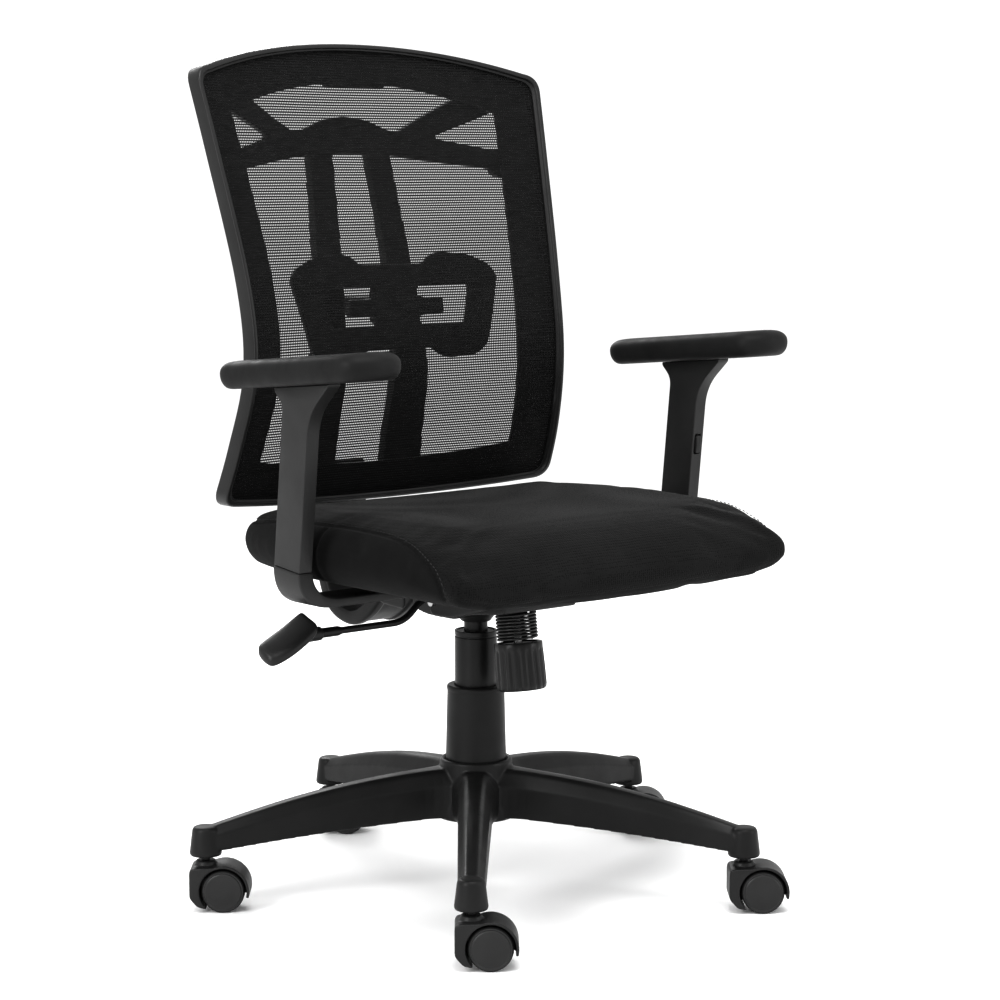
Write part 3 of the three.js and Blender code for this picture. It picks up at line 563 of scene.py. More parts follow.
def stage():
    """Floor, soft boxes and the camera, which looks at the chair from its right front."""
    camera = bpy.data.objects.new("camera", bpy.data.cameras.new("camera"))
    camera.data.lens = LENS
    camera.data.sensor_width = SENSOR
    camera.data.clip_end = 60
    camera.location = AXIS + CAMERA_FROM_AXIS
    camera.rotation_euler = (radians(90 - CAMERA_DOWN), 0, radians(CAMERA_ROUND))
    bpy.context.scene.collection.objects.link(camera)
    bpy.context.scene.camera = camera
    bpy.context.scene.view_settings.view_transform = "Standard"
    bpy.context.scene.view_settings.gamma = 0.75

    floor = made("floor", block((-30000, 30000), (-30000, 30000), (-40, 0)))
    n = Nodes("floor_paper")
    tone = n.mixed(n.noise(3, 3), grey(0.93), grey(0.95))
    floor.data.materials.append(n.finish(Base_Color=tone, Roughness=0.9))

    world = bpy.data.worlds.new("studio")
    world.use_nodes = True
    world.node_tree.nodes["Background"].inputs["Color"].default_value = (1, 1, 1, 1)
    world.node_tree.nodes["Background"].inputs["Strength"].default_value = 1.12
    bpy.context.scene.world = world

    aim = AXIS + Vector((0, 0, 0.55))
    for name, at, size, power in SOFT_BOXES:
        light = bpy.data.objects.new(name, bpy.data.lights.new(name, "AREA"))
        light.data.shape = "RECTANGLE"
        light.data.size, light.data.size_y = size
        light.data.energy = power
        light.location = at
        light.rotation_euler = (aim - Vector(at)).to_track_quat("-Z", "Y").to_euler()
        bpy.context.scene.collection.objects.link(light)


stage()

# ---- five-star base
def leg_shape():
    """One leg along +X, open underneath: upright sides, a crisp shoulder and a round ridge."""
    reach = STEM_CIRCLE - LEG["root"]
    rings = []
    for i in range(31):
        along = lerp(LEG["root"] - 2, STEM_CIRCLE + 4, i / 30)
        s = (along - LEG["root"]) / reach
        flare = 11 * max(0.0, 1 - (along - LEG["root"]) / 45) ** 2
        half = lerp(*LEG["half_width"], s) + flare
        top = lerp(*LEG["top"], s) + 9.5 * sin(pi * clamp(s))
        bottom = lerp(LEG["bottom"][0], LEG["bottom"][1] + 5, s) + 3 * sin(pi * clamp(s))
        shoulder = lerp(bottom, top, 0.66)
        wall = LEG["wall"]
        outer = [(half - 1, bottom), (half, bottom + 4), (half - 0.5, shoulder), (0.62 * half, top - 4),
                 (0.42 * half, top - 0.6), (0, top)]
        inner = [(0, top - 4), (0.5 * half, top - 7), (half - wall - 0.5, shoulder - 3),
                 (half - wall, bottom)]
        loop = outer + [(-a, b) for a, b in outer[-2::-1]] + [(-a, b) for a, b in inner[::-1]] + inner[1:]
        rings.append([(along, a, b) for a, b in loop])
    return loft(rings)


def leg_ribs():
    """Stiffening ribs in the hollow under a leg."""
    ribs = []
    for along in (84, 132, 180, 228, 276):
        s = (along - LEG["root"]) / (STEM_CIRCLE - LEG["root"])
        half = lerp(*LEG["half_width"], s) - 1
        bottom, top = lerp(*LEG["bottom"], s) + 14, lerp(*LEG["top"], s)
        ribs.append(block((along - 1.4, along + 1.4), (-half, half), (bottom, lerp(bottom, top, 0.55))))
    return ribs


def star_base():
    hub = lathe([(HUB_BORE, 88), (48, 88), (50, 91), (50, 102), (46.5, 116), (44, 135), (43.4, 150),
                 (43, 156.5), (41, 158.5), (38.4, 158), (37.4, 156), (37.2, 153.8), (HUB_BORE, 153.8)], 96)
    tip = lathe([(0, 99), (9, 98.8), (13.4, 97.6), (15.4, 94.6), (16.2, 88), (18.8, 67), (17.8, 64.2),
                 (5.8, 64.2),                 (5.8, 92.6), (0, 92.6)], 48)
    shapes = [hub]
    for k in range(LEG_COUNT):
        out = turn(FIRST_LEG + k * 360 / LEG_COUNT - 90, "Z")
        shapes += [moved(s, out) for s in (leg_shape(), moved(tip, shift(STEM_CIRCLE, 0, 0)), *leg_ribs())]
    base = fused(made("star_base", *shapes), 1.5, rounds=5, keep=0.35)
    finished(base, LOOK["base"], "base", ["five_star_base"], sharp=0)


# ---- casters
def caster_hood():
    """A hood round the back and top of both wheels, a web between them and a collar for the stem."""
    trail, wheel, hood = CASTER["trail"], CASTER["wheel"], CASTER["hood"]
    centre = (trail, wheel)
    around = arc(centre, hood, -14, 112, 22)
    back_corner = [around[-1], (-18, 52.6), (-18, 17), (-8, 6.5), (0.8, 5.2)]
    stem_side = filleted(back_corner, [0, 7, 4, 3, 0], 5, False)
    inside = arc(centre, wheel + 2.4, 226, -14, 40)
    shell = prism(around + stem_side[1:] + inside, -22.5, 22.5, "y")
    web = prism(arc(centre, wheel + 4, -8, 205, 26) + [(trail, 12)], -3.6, 3.6, "y")
    axle_boss = moved(lathe([(0, -5), (8, -5), (8, 5), (0, 5)], 24), shift(trail, 0, wheel) @ turn(90, "X"))
    collar = lathe([(0, 30), (13.2, 30), (13.2, 52), (12, 57), (10.4, 58.8), (0, 58.8)], 40)
    hood_piece = fused(made("caster_hood", shell, web, axle_boss, collar), 1.15, rounds=3, keep=0.4)

    def rounded_end(x, y, z):
        return (x, y * sqrt(1 - (min(x, 0) / 42) ** 2), z)
    return bent(hood_piece, rounded_end)


def caster_wheel():
    """A wheel on +Y: soft tread, dished side with a rim, and a hub."""
    low, high, r = CASTER["inner"], CASTER["outer"], CASTER["wheel"]
    side = lathe([(0, high - 1.6), (4.4, high - 1.6), (4.4, low + 1), (9, low + 1), (9, low + 5),
                  (19, low + 5), (20, low), (r - 3.1, low),
                  (r - 3.1, high - 3.4), (r - 3.6, high - 1.4), (r - 4.8, high - 0.6), (r - 6.2, high - 0.6),
                  (r - 7.5, high - 0.8), (13, high - 0.5), (7, high - 0.1), (0, high)], 72)
    tread = lathe([(r - 3.4, low + 0.3), (r - 1.4, low), (r - 0.4, low + 1), (r, low + 3), (r, high - 5.6),
                   (r - 0.5, high - 3.4), (r - 1.8, high - 2.2), (r - 3.4, high - 2.4)], 72)
    wheel = made("caster_wheel", side, tread)
    for v in wheel.data.vertices:
        v.co = Vector((v.co.x, v.co.z, v.co.y))
    wheel.data.materials.append(LOOK["wheel"])
    wheel.data.materials.append(LOOK["tread"])
    for polygon in wheel.data.polygons:
        middle = polygon.center / MM
        polygon.material_index = int(hypot(middle.x, middle.z) > r - 2.6 and middle.y < high - 2)
    face_out(wheel.data)
    return wheel


def casters():
    """Five casters: copies of one hood and one wheel, each at its place on the stem circle."""
    hood, wheel = caster_hood(), caster_wheel()
    for k in range(LEG_COUNT):
        angle = radians(FIRST_LEG + k * 360 / LEG_COUNT)
        stem = shift(STEM_CIRCLE * sin(angle), -STEM_CIRCLE * cos(angle), 0) @ turn(CASTER["azimuth"], "Z")
        axle = stem @ shift(CASTER["trail"], 0, CASTER["wheel"])
        n = k + 1
        wheels = f"wheels_{n}"
        copies = [(f"hood_{n}", hood, stem, f"caster_{n}", f"caster_housing_{n}"),
                  (f"wheel_{n}a", wheel, axle @ turn(180, "Z"), wheels, f"caster_wheel_{n}a"),
                  (f"wheel_{n}b", wheel, axle, wheels, f"caster_wheel_{n}b")]
        for name, source, place, body, node in copies:
            copy = bpy.data.objects.new(name, source.data.copy())
            bpy.context.scene.collection.objects.link(copy)
            in_metres = Matrix.Translation(place.to_translation() * MM) @ place.to_3x3().to_4x4()
            copy.data.transform(in_metres)
            slot, sharp = ("wheel_tread", 32) if source is wheel else ("moulded_nylon", 0)
            finished(copy, LOOK["caster"], body, [node], sharp=sharp)
    for part in (hood, wheel):
        bpy.data.objects.remove(part)


# ---- column
def column():
    cover = filleted([(33.6, 154.6), (36, 154.6), (36, 158), (34, 239.6), (34.6, 241.6), (34.6, 244.6),
                      (33, 246.6), (25.5, 246.6), (25.5, 244), (31, 243.6), (33.2, 160)], 1.2, 3)
    finished(made("cover_sleeve", lathe(cover, 96)), LOOK["base"], "base",
             ["column_cover"], sharp=50)
    r, bore, bottom, top = TUBE["radius"], TUBE["inner"], TUBE["bottom"], TUBE["top"]
    tube = filleted([(6.8, bottom), (r - 0.6, bottom), (r, bottom + 8), (r, top - 8), (r - 0.7, top - 7.4),
                     (r - 0.7, top - 6.4), (r, top - 5.8), (r, top), (bore, top), (bore, bottom + 6),
                     (6.8, bottom + 6)], 0.7, 3)
    finished(made("outer_tube", lathe(tube, 96)), LOOK["tube"], "base",
             ["gas_lift_tube"], sharp=50)
    spindle = lathe([(0, 346), (4.6, 346), (4.6, 355), (12.2, 355), (13, 354.2), (14, 334), (14, 121),
                     (13, 120), (5.8, 120), (5.8, 130), (11.8, 130), (11.8, 326), (0, 326)], 72)
    finished(made("spindle", spindle), LOOK["tube"], "mechanism",
             ["gas_lift_spindle"], sharp=40)


# ---- tilt mechanism
def housing():
    bottom = [(-118, 384), (-118, 358), (-50, 349), (-26, 341), (26, 341), (50, 346), (50, 361)]
    inner = [(47.4, 361), (47.4, 348.8), (26, 343.8), (-26, 343.8), (-50, 351.8), (-115.4, 360.4),
             (-115.4, 384)]
    tray = prism(filleted(bottom + inner, 5, 4), -54, 54, "x")
    side = filleted(bottom + [(-20, 384)], [3, 9, 12, 12, 14, 9, 6, 10], 5)
    sides = [prism(side, x, x + 2.6, "x") for x in (-55, 52.4)]
    funnel = lathe([(14.4, 331), (17.5, 331), (20, 334.5), (24, 339.5), (31, 343.5), (31, 347), (24, 352),
                    (14.4, 352)], 64)
    bosses = [moved(lathe([(5.3, 0), (11, 0), (11, 3), (9.5, 4), (5.3, 4)], 32),
                    shift(x, *PIVOT) @ turn(s * 90, "Y")) for x, s in ((-54, -1), (54, 1))]
    collar = moved(lathe([(8.2, 0), (14, 0), (14, 4), (12.4, 5), (8.2, 5)], 32),
                   tension_place() @ shift(0, 0, 57.4))
    body = fused(made("housing", tray, *sides, funnel, *bosses, collar), 1.25, rounds=3, keep=0.35)
    finished(body, LOOK["press"], "mechanism", ["mechanism_housing"], sharp=0)


def seat_plate():
    """The pressed plate that carries the seat, with its two flanges and the screws up into the seat."""
    flange = [(-128, 390.3), (-128, 368), (-60, 350), (-24, 350), (-24, 380), (24, 380), (24, 350), (70, 352),
              (98, 364), (98, 390.3)]
    radii = [2, 8, 14, 8, 8, 8, 8, 14, 8, 2]
    sides = [prism(filleted(flange, radii, 5), x, x + 3, "x") for x in (-89, 86)]
    corners = filleted([(-89, -128), (89, -128), (89, 120), (-89, 120)], 14, 6)
    sheet = prism(corners, 388.3, 391.3, "z")
    plate = fused(made("seat_plate", *sides, sheet), 1.4, rounds=2, keep=0.3)
    finished(plate, LOOK["press"], "seat", ["tilt_plate"], sharp=0)
    head = lathe([(0, 384.6), (3, 384.6), (5.5, 385.6), (6.4, 388.2), (0, 388.2)], 28)
    places = [shift(x, y, 0) for x in (-71, 71) for y in (-112, -64, 40, 104)]
    screws = made("plate_screws", *[moved(head, place) for place in places])
    finished(screws, LOOK["steel"], "seat")


def tension_place():
    return shift(*TENSION["at"]) @ turn(-TENSION["lean"], "X")


def tension():
    """The fluted knob and the spring that it loads."""
    profile = [(5.4, -28, 0), (20, -28, 0), (26.6, -27.9, 0.3), (28.8, -26, 1.0), (29.5, -22, 1.5),
               (29.1, 0, 1.6), (28.6, 16.5, 1.6), (28.5, 19.3, 0.6), (28.4, 20.4, 0), (28.5, 26.2, 0),
               (27.8, 27.6, 0), (25, 28, 0), (23.8, 26, 0), (5.4, 26, 0)]
    sides, flutes = 216, 18
    rings = []
    for r, z, depth in profile:
        angles = [2 * pi * i / sides for i in range(sides)]
        radius = [r - depth * (0.5 - 0.5 * cos(flutes * a)) ** 2 for a in angles]
        rings.append([(q * cos(a), q * sin(a), z) for q, a in zip(radius, angles)])
    knob = made("knob", moved(loft(rings, True), tension_place()))
    finished(knob, LOOK["knob"], "tension_knob", ["tension_knob"], sharp=45)

    wire = TENSION["wire"]
    low, high = TENSION["half_height"] + wire + 0.6, TENSION["spring_top"] - wire - 0.6
    steps = TENSION["turns"] * 36
    helix = [(TENSION["spring"] * cos(2 * pi * i / 36), TENSION["spring"] * sin(2 * pi * i / 36),
              lerp(low, high, i / steps)) for i in range(steps + 1)]
    spring = made("spring", moved(swept(helix, disc(wire, 10)), tension_place()))
    finished(spring, LOOK["spring"], "mechanism", ["tension_spring"])
    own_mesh(spring)


# ---- height lever
def lever():
    path = filleted([(12, 366), (-80, 366), (-108, 341), (-252, 341)], 16, 8, False)
    straight = path[:-1] + [(lerp(-120, -252, i / 22), 341) for i in range(1, 23)]

    def thickness(x):
        return 4 + 1.7 * smoothstep(-x, 198, 202) * (1 - smoothstep(-x, 236, 240))
    points = [(x, 0, z) for x, z in straight]
    rings = []
    for i, p in enumerate(points):
        ahead = Vector(points[min(i + 1, len(points) - 1)]) - Vector(points[max(i - 1, 0)])
        up = Vector((ahead.z, 0, -ahead.x)).normalized()
        r = thickness(p[0])
        rings.append([Vector(p) + up * (r * sin(a)) + Vector((0, r * cos(a), 0))
                      for a in (2 * pi * k / 16 for k in range(16))])
    finished(made("rod", loft(rings)), LOOK["tube"], "lever", ["lever_rod"], sharp=50)

    def paddle(u, v, w):
        t = (u + 1) / 2
        half = 19 * (1 - 0.28 * max(0, -u) ** 3 - 0.12 * max(0, u) ** 2)
        middle = lerp(323, 356, t) - 3 * (1 - u * u) + 6 * v
        return (lerp(-307, -243, t) + 2 * v * v, v * half, middle + w * 8 * (1 - 0.25 * v * v))
    blade = subdivided(made("paddle", moulded((6, 4, 2), paddle)), 2)
    socket = moved(lathe([(4.6, 0), (7.4, 0), (8.2, 2), (8.4, 10), (8, 30), (4.6, 30)], 32),
                   shift(-258, 0, 341) @ turn(90, "Y"))
    joined = made("handle", ([v.co / MM for v in blade.data.vertices],
                             [tuple(p.vertices) for p in blade.data.polygons]), socket)
    bpy.data.objects.remove(blade)
    handle = fused(joined, 1.1, rounds=4, keep=0.5)
    finished(handle, LOOK["frame"], "lever", ["lever_handle"], sharp=0)


# ---- arms
def carved(obj, *shapes):
    """obj with closed shapes cut out of it."""
    for shape in shapes:
        cutter = made("cutter", shape)
        add(obj, "BOOLEAN", operation="DIFFERENCE", object=cutter, solver="EXACT")
        settled(obj)
        bpy.data.objects.remove(cutter)
    return obj


def arm(name, side):
    """One arm: a bracket from under the seat, a sliding sleeve, its button and the pad."""
    x, (foot_y, foot_z), thick, deep = ARM["x"], ARM["foot"], ARM["bracket"], ARM["half_deep"]
    outline = [(110, 381)] + curve((x + thick - 50, 381), (x + thick, 381), (x + thick, foot_z), 14)
    outline += [(x + thick, foot_z)]
    outline += curve((x - thick, foot_z), (x - thick, 391.3), (x - thick - 40, 391.3), 14)
    outline += [(x - thick - 40, 391.3), (110, 391.3)]
    outline = [(side * a, b) for a, b in outline]
    bracket = made(f"bracket_{name}", prism(outline, foot_y - deep, foot_y + deep, "y"))
    slope = tan(radians(ARM["lean"]))
    bent(bracket, lambda a, b, c: (a, b, c + (b - foot_y) * slope * (c > foot_z - 1)))
    bevelled(bracket, 2.2, 4)
    finished(bracket, LOOK["arm"], "seat", [f"arm_bracket_{name}"], sharp=50)

    place = shift(side * x, foot_y, foot_z) @ turn(ARM["lean"], "X")
    edge = -side

    def pad_underside(y):
        rise = (y - ARM["pad_at"][1]) * tan(radians(ARM["pad_tilt"]))
        return ARM["pad_at"][2] + rise - ARM["pad"][2] / 2 - 0.6
    front, rear = -deep - ARM["flare"][0], deep + ARM["flare"][1]
    sleeve_side = filleted([(-deep, 0.4), (deep, 0.4), (deep, 180), (rear - 1, pad_underside(rear) - 4),
                            (rear, pad_underside(rear)), (front, pad_underside(front)),
                            (front + 1, pad_underside(front) - 4), (-deep, 176)],
                           [0, 0, 26, 2, 0, 0, 2, 34], 8)
    thick = ARM["sleeve"]
    sleeve = made(f"sleeve_{name}", prism(sleeve_side, -thick, thick, "x"))
    half_x, half_y, height = ARM["upright"]
    room = block((-half_x - 0.3, half_x + 0.3), (-half_y - 0.3, half_y + 0.3), (-1, height + 2))
    notch = moulded((1, 1, 1), lambda u, v, w: (4.6 * u, edge * (deep + 4 * v), 105 + 12 * w))
    carved(sleeve, room, notch)
    bevelled(sleeve, 2.4, 4)
    sleeve.data.transform(Matrix.Translation(place.to_translation() * MM) @ place.to_3x3().to_4x4())
    finished(sleeve, LOOK["arm"], f"arm_{name}", [f"arm_sleeve_{name}"], sharp=50)

    def press(u, v, w):
        point = 1 - 0.35 * abs(w)
        return (4 * u * (1 - 0.1 * v), edge * (deep - 0.2 + v * (3 * point)), 105 + 10.8 * w)
    button = subdivided(made(f"button_{name}", moved(moulded((3, 3, 4), press), place)), 2)
    finished(button, LOOK["caster"], f"button_{name}", [f"arm_button_{name}"], sharp=0)

    width, length, depth = ARM["pad"]

    def cushion(u, v, w):
        round_x, round_y = u * sqrt(1 - 0.24 * v * v), v * sqrt(1 - 0.24 * u * u)
        pull = {1: 0.88, 0.5: 1.0, 0: 1.01, -0.5: 0.99, -1: 0.9}[w]
        crown = 1.6 * (1 - u * u) * (w > 0.9)
        return (round_x * width / 2 * pull, round_y * length / 2 * (0.4 + 0.6 * pull),
                w * (depth / 2 - 1.6 * (w > 0.9)) + crown)
    pad_place = place @ shift(*ARM["pad_at"]) @ turn(ARM["pad_tilt"], "X")
    pad = subdivided(made(f"pad_{name}", moved(moulded((6, 14, 4), cushion), pad_place)), 2)
    finished(pad, LOOK["pad"], f"arm_{name}", [f"arm_pad_{name}"], sharp=0)


# ---- back
half_width_at, side_depth_at = table(BACK_SIDE, 1), table(BACK_SIDE, 2)
spine_depth_at = table(SPINE_FRONT, 1)


def back_depth(x, z):
    """Y of the mesh surface: it follows the side rails and sags back between them, most at the top."""
    rise = (z - BACK["middle"]) / (BACK["crown"] - BACK["middle"])
    sag = lerp(BACK["sag_middle"], BACK["sag_top"], rise * rise)
    across = min(1.0, abs(x) / half_width_at(z))
    return side_depth_at(z) + sag * (1 - across * across)


def back_outline(inset):
    """The back's outline as (x, z) points, always the same count, a distance in from the edge."""
    r = max(5, BACK["corner_radius"] - inset * 0.3)
    upward = inset * BACK["end_inset"]
    low, low_corner = BACK["bottom"] + upward, BACK["low_corner"] + upward
    high, crown = BACK["corner"] - upward, BACK["crown"] - upward

    def edge(z):
        return half_width_at(z) - inset

    foot = (edge(low_corner) - r, low_corner - r * 0.1)
    half = curve((0, low), (edge(low) * 0.5, low), foot, 12)
    half += curve(foot, (edge(low_corner), low_corner), (edge(low_corner + r), low_corner + r), 8)
    half += [Vector((edge(z), z)) for z in (lerp(low_corner + r, high - r, i / 40) for i in range(40))]
    shoulder = (edge(high) - r, high + r * 0.15)
    half += curve((edge(high - r), high - r), (edge(high), high), shoulder, 8)
    half += curve(shoulder, (edge(high) * 0.5, crown), (0, crown), 20)
    mirrored = [Vector((-p.x, p.y)) for p in half[:0:-1]]
    return half + [Vector((0, crown))] + mirrored


def back_ring():
    """The rim with a groove for the mesh and the flat flange behind it, as one run round the outline."""
    section = filleted([(0, -7), (5.2, -8), (6.4, -3.6), (9, -2.4), (7.6, -0.8), (7.6, 3), (9, 4),
                        (9, 12.6), (49, 12.6), (54, 11.4), (54, 17.5), (6, 17.5), (0, 17.5)],
                       [4, 1.8, 0.8, 0.4, 0.4, 0.4, 1, 2.5, 1, 1.5, 1.5, 1, 7], 4)
    rings = [[(p.x, back_depth(p.x, p.y) + depth, p.y) for p in back_outline(inset)]
             for inset, depth in section]
    ring = made("ring", loft(rings, True))
    finished(ring, LOOK["frame"], "seat", ["back_frame"], sharp=50)


def back_mesh():
    """The stretched mesh: one layer, from the rim's groove to the rim's groove."""
    inset = 8.4
    columns, rows = 72, 72
    low, upward = BACK["low_corner"], inset * BACK["end_inset"]

    def low_at(x):
        share = clamp(abs(x) / half_width_at(BACK["low_corner"]))
        return lerp(BACK["bottom"], BACK["low_corner"] - 2, share ** 2) + upward

    def crown_at(x):
        share = clamp(abs(x) / half_width_at(BACK["corner"]))
        return lerp(BACK["crown"], BACK["corner"] + 3, share ** 2.1) - upward

    points, faces = [], []
    for j in range(rows + 1):
        for i in range(columns + 1):
            u = 2 * i / columns - 1
            x = u * (half_width_at(lerp(low, BACK["corner"], j / rows)) - inset)
            z = lerp(low_at(x), crown_at(x), j / rows)
            x = u * (half_width_at(z) - inset)
            points.append(Vector((x, back_depth(x, z) + 1, z)))
    row = columns + 1
    for j in range(rows):
        faces += [(j * row + i, j * row + i + 1, (j + 1) * row + i + 1, (j + 1) * row + i)
                  for i in range(columns)]
    sheet = made("mesh_sheet", (points, faces))
    finished(sheet, LOOK["mesh"], "seat", ["back_mesh"], sharp=0)


def spine_surface(x, z):
    """Y of the spine's front face: its own curve in the middle, the ring's rear face at the bands' ends."""
    reach = smoothstep(abs(x), 75, 205)
    ring_rear = back_depth(x, z) + 20
    return lerp(spine_depth_at(z), ring_rear, reach if z > 700 else 0)


def spine():
    """The spider behind the mesh: two bars, an arched head and two bands to each side of the ring."""
    depth = 14
    shapes = []

    def plate(outline, low=0.0, high=depth):
        shapes.append(prism(outline, low, high, "y"))
    plate(filleted([(-82, 881), (-60, 880), (60, 880), (82, 881), (84, 894), (86, 908), (64, 909),
                    (36, 921), (0, 926), (-36, 921), (-64, 909), (-86, 908), (-84, 894)], 8, 4))
    for s in (-1, 1):
        bar = [(26, 886), (61, 886), (66, 817), (72, 757), (72, 705), (84, 650), (91, 610), (95, 540),
               (99, 478), (99, 458), (90, 452), (37, 452), (37, 540), (38, 620), (36, 700), (30, 817)]
        plate(filleted([(s * a, b) for a, b in bar], 8, 4))
        upper = [(72, 890), (84, 909), (192, 966), (208, 962), (212, 936), (124, 901)]
        lower = [(62, 878), (74, 895), (124, 900), (214, 881), (214, 858)]
        upper_end = [(180, 944), (208, 930), (218, 948), (202, 970), (184, 966)]
        lower_end = [(188, 854), (206, 848), (222, 860), (222, 884), (206, 888), (190, 884)]
        for band, radius in ((upper, 5), (lower, 5), (upper_end, 6), (lower_end, 6)):
            plate(filleted([(s * a, b) for a, b in band], radius, 4))
    plate([(-92, 453), (92, 453), (92, 482), (-92, 482)], 0, 21)
    ribs = [block((s * 50 - 2, s * 50 + 2), (depth - 1, depth + 3.4), (486, 850)) for s in (-1, 1)]
    spider = fused(made("spider", *shapes, *ribs), 2.0, rounds=6, keep=0.5)
    bent(spider, lambda x, y, z: (x, y + spine_surface(x, z), z))
    finished(spider, LOOK["spine"], "seat", ["back_bracket"], sharp=0)

    bolt = lathe([(0, 0), (7.6, 0), (7.6, 1.6), (6.2, 4.4), (3.4, 5.2), (3.0, 3.0), (0, 3.0)], 32)
    bolts = [moved(bolt, shift(s * 24, 264 + 9.4, z) @ turn(-90, "X")) for s in (-1, 1) for z in (458, 478)]
    bands = [moved(bolt, shift(s * 204, spine_surface(204, z) + depth - 0.4, z) @ turn(-90, "X"))
             for s in (-1, 1) for z in (868, 950)]
    finished(made("spine_bolts", *bolts, *bands), LOOK["steel"], "seat")


def top_tab():
    """The small tab that hangs from the ring at the top."""
    outline = filleted([(-49, 972), (49, 972), (45, 959), (-45, 959)], [0, 0, 5, 5], 5)
    tab = made("tab", prism(outline, 0, 5, "y"))
    bevelled(tab, 1.0, 3)
    bent(tab, lambda x, y, z: (x, y + back_depth(x, z) + 12.4, z))
    finished(tab, LOOK["frame"], "seat")


def seat_bar():
    """The bar that runs back under the seat and curves up behind it: flat, with rounded edges and a rib."""
    half, thick = 35, 9
    section = filleted([(-half, -thick), (half, -thick), (half, thick), (half - 12, thick),
                        (half - 15, thick - 2.4), (15 - half, thick - 2.4), (12 - half, thick),
                        (-half, thick)], [5, 5, 5, 2, 2, 2, 2, 5], 4)
    rings = []
    steps = 72
    for i in range(steps + 1):
        t = i / steps
        here = spline(BAR_PATH, t)
        ahead = (spline(BAR_PATH, min(1, t + 0.004)) - spline(BAR_PATH, max(0, t - 0.004))).normalized()
        shrink = 1 - 0.12 * max(0.0, 1 - i / 2) - 0.12 * max(0.0, 1 - (steps - i) / 2)
        rings.append([(a * shrink, here.x + b * ahead.y * shrink, here.y - b * ahead.x * shrink)
                      for a, b in section])
    finished(made("seat_bar", loft(rings)), LOOK["base"], "seat", ["back_bar"], sharp=40)


# ---- lumbar support
def lumbar():
    """The pad behind the mesh, with ears, two windows and the block that slides between the spine bars."""
    half = [(0, 747), (50, 747), (58, 756), (74, 761), (118, 757), (147, 745), (157, 731), (146, 690),
            (134, 646), (118, 634), (74, 631), (59, 638), (50, 645), (0, 645)]
    outline = filleted(half + [(-a, b) for a, b in half[-2:0:-1]], 7, 4)
    pad = made("lumbar_pad", prism(outline, 10.5, 18.5, "y"))
    window = [(33, 673), (102, 673), (114, 721), (33, 721)]
    windows = [prism(filleted([(s * a, b) for a, b in window], 7, 4), 0, 30, "y") for s in (-1, 1)]
    carved(pad, *windows)
    fused(pad, 1.6, rounds=4, keep=0.6)
    bent(pad, lambda x, y, z: (x, y + back_depth(x, z), z))
    finished(pad, LOOK["spine"], "lumbar", ["lumbar_support"], sharp=0)

    slider_low, slider_high, rear = 676, 722, 228
    front = back_depth(0, 700) + 17.6
    body = prism(filleted([(-30, slider_low), (30, slider_low), (30, slider_high), (-30, slider_high)], 5, 4),
                 front, front + 10, "y")
    neck = prism(filleted([(-28, 684), (28, 684), (28, 707), (-28, 707)], 5, 4), front + 8, rear, "y")
    tongue = [(24, 682), (44, 685), (71, 685), (71, 706), (44, 706), (24, 710)]
    tongues = [prism(filleted([(s * a, b) for a, b in tongue], 3, 4), front - 8, front + 3, "y")
               for s in (-1, 1)]
    slider = fused(made("slider", body, neck, *tongues), 1.5, rounds=3, keep=0.5)
    finished(slider, LOOK["spine"], "lumbar", ["lumbar_slider"], sharp=0)


# ---- seat
SEAM = [(150, 466), (60, 472), (-38, 476), (-87, 477), (-136, 475), (-169, 470), (-196, 462), (-222, 448),
        (-236, 438), (-246, 424), (-250, 408), (-251, 394)]
SEAM_SIDE, SEAM_REAR, SEAM_SLANT = 250, 160, 0.6  # the line lies where slanted rays to here meet the cover
SIDE_SEAM_Y = -38


def seam_height(y):
    """Height of the seam between the top and the side panel, by how far back it is."""
    for (far, high), (near, low) in zip(SEAM, SEAM[1:]):
        if near <= y <= far:
            return lerp(low, high, (y - near) / (far - near))
    return SEAM[0][1] if y > SEAM[0][0] else 0


def seam_lines(tree):
    """The sewn lines as points and normals on the cushion: round the sides and rear, and down each side."""
    middle = Vector((0, (SEAT["front"] + SEAT["rear"]) / 2, 0))

    def cast(x, y, z, slant=SEAM_SLANT):
        out = Vector((x / SEAT["half_width"], (y - middle.y) / 225, 0))
        out = Vector((out.x ** 3, out.y ** 3, 0)).normalized()
        out = (out + Vector((0, 0, slant))).normalized()
        hit = tree.ray_cast((Vector((x, y, z)) + out * 90) * MM, -out)
        return (hit[0], hit[1]) if hit[0] else None
    side_x = SEAM_SIDE
    dense = [spline(SEAM, i / 120) for i in range(121)]
    lines = []
    right = [cast(-side_x, p.x, p.y) for p in dense if p.x < 110]
    left = [cast(side_x, p.x, p.y) for p in dense if p.x < 110]
    rear = [cast(x, SEAM_REAR, SEAM[0][1]) for x in range(-196, 197, 8)]
    corners = []
    for s in (-1, 1):
        corners.append([cast(s * (200 + 50 * sin(a)), 112 + 48 * cos(a), SEAM[0][1] + 1)
                        for a in (radians(k * 9) for k in range(1, 10))])
    lines.append([p for p in right[::-1] + corners[0][::-1] + rear + corners[1] + left if p])
    for s in (-1, 1):
        lines.append([p for p in (cast(s * side_x, SIDE_SEAM_Y, z, 0) for z in range(398, 468, 3)) if p])
    return lines


def smoothed(line, rounds=3):
    for _ in range(rounds):
        middle = [((a[0] + 2 * b[0] + c[0]) / 4, b[1]) for a, b, c in zip(line, line[1:], line[2:])]
        line = [line[0], *middle, line[-1]]
    return line


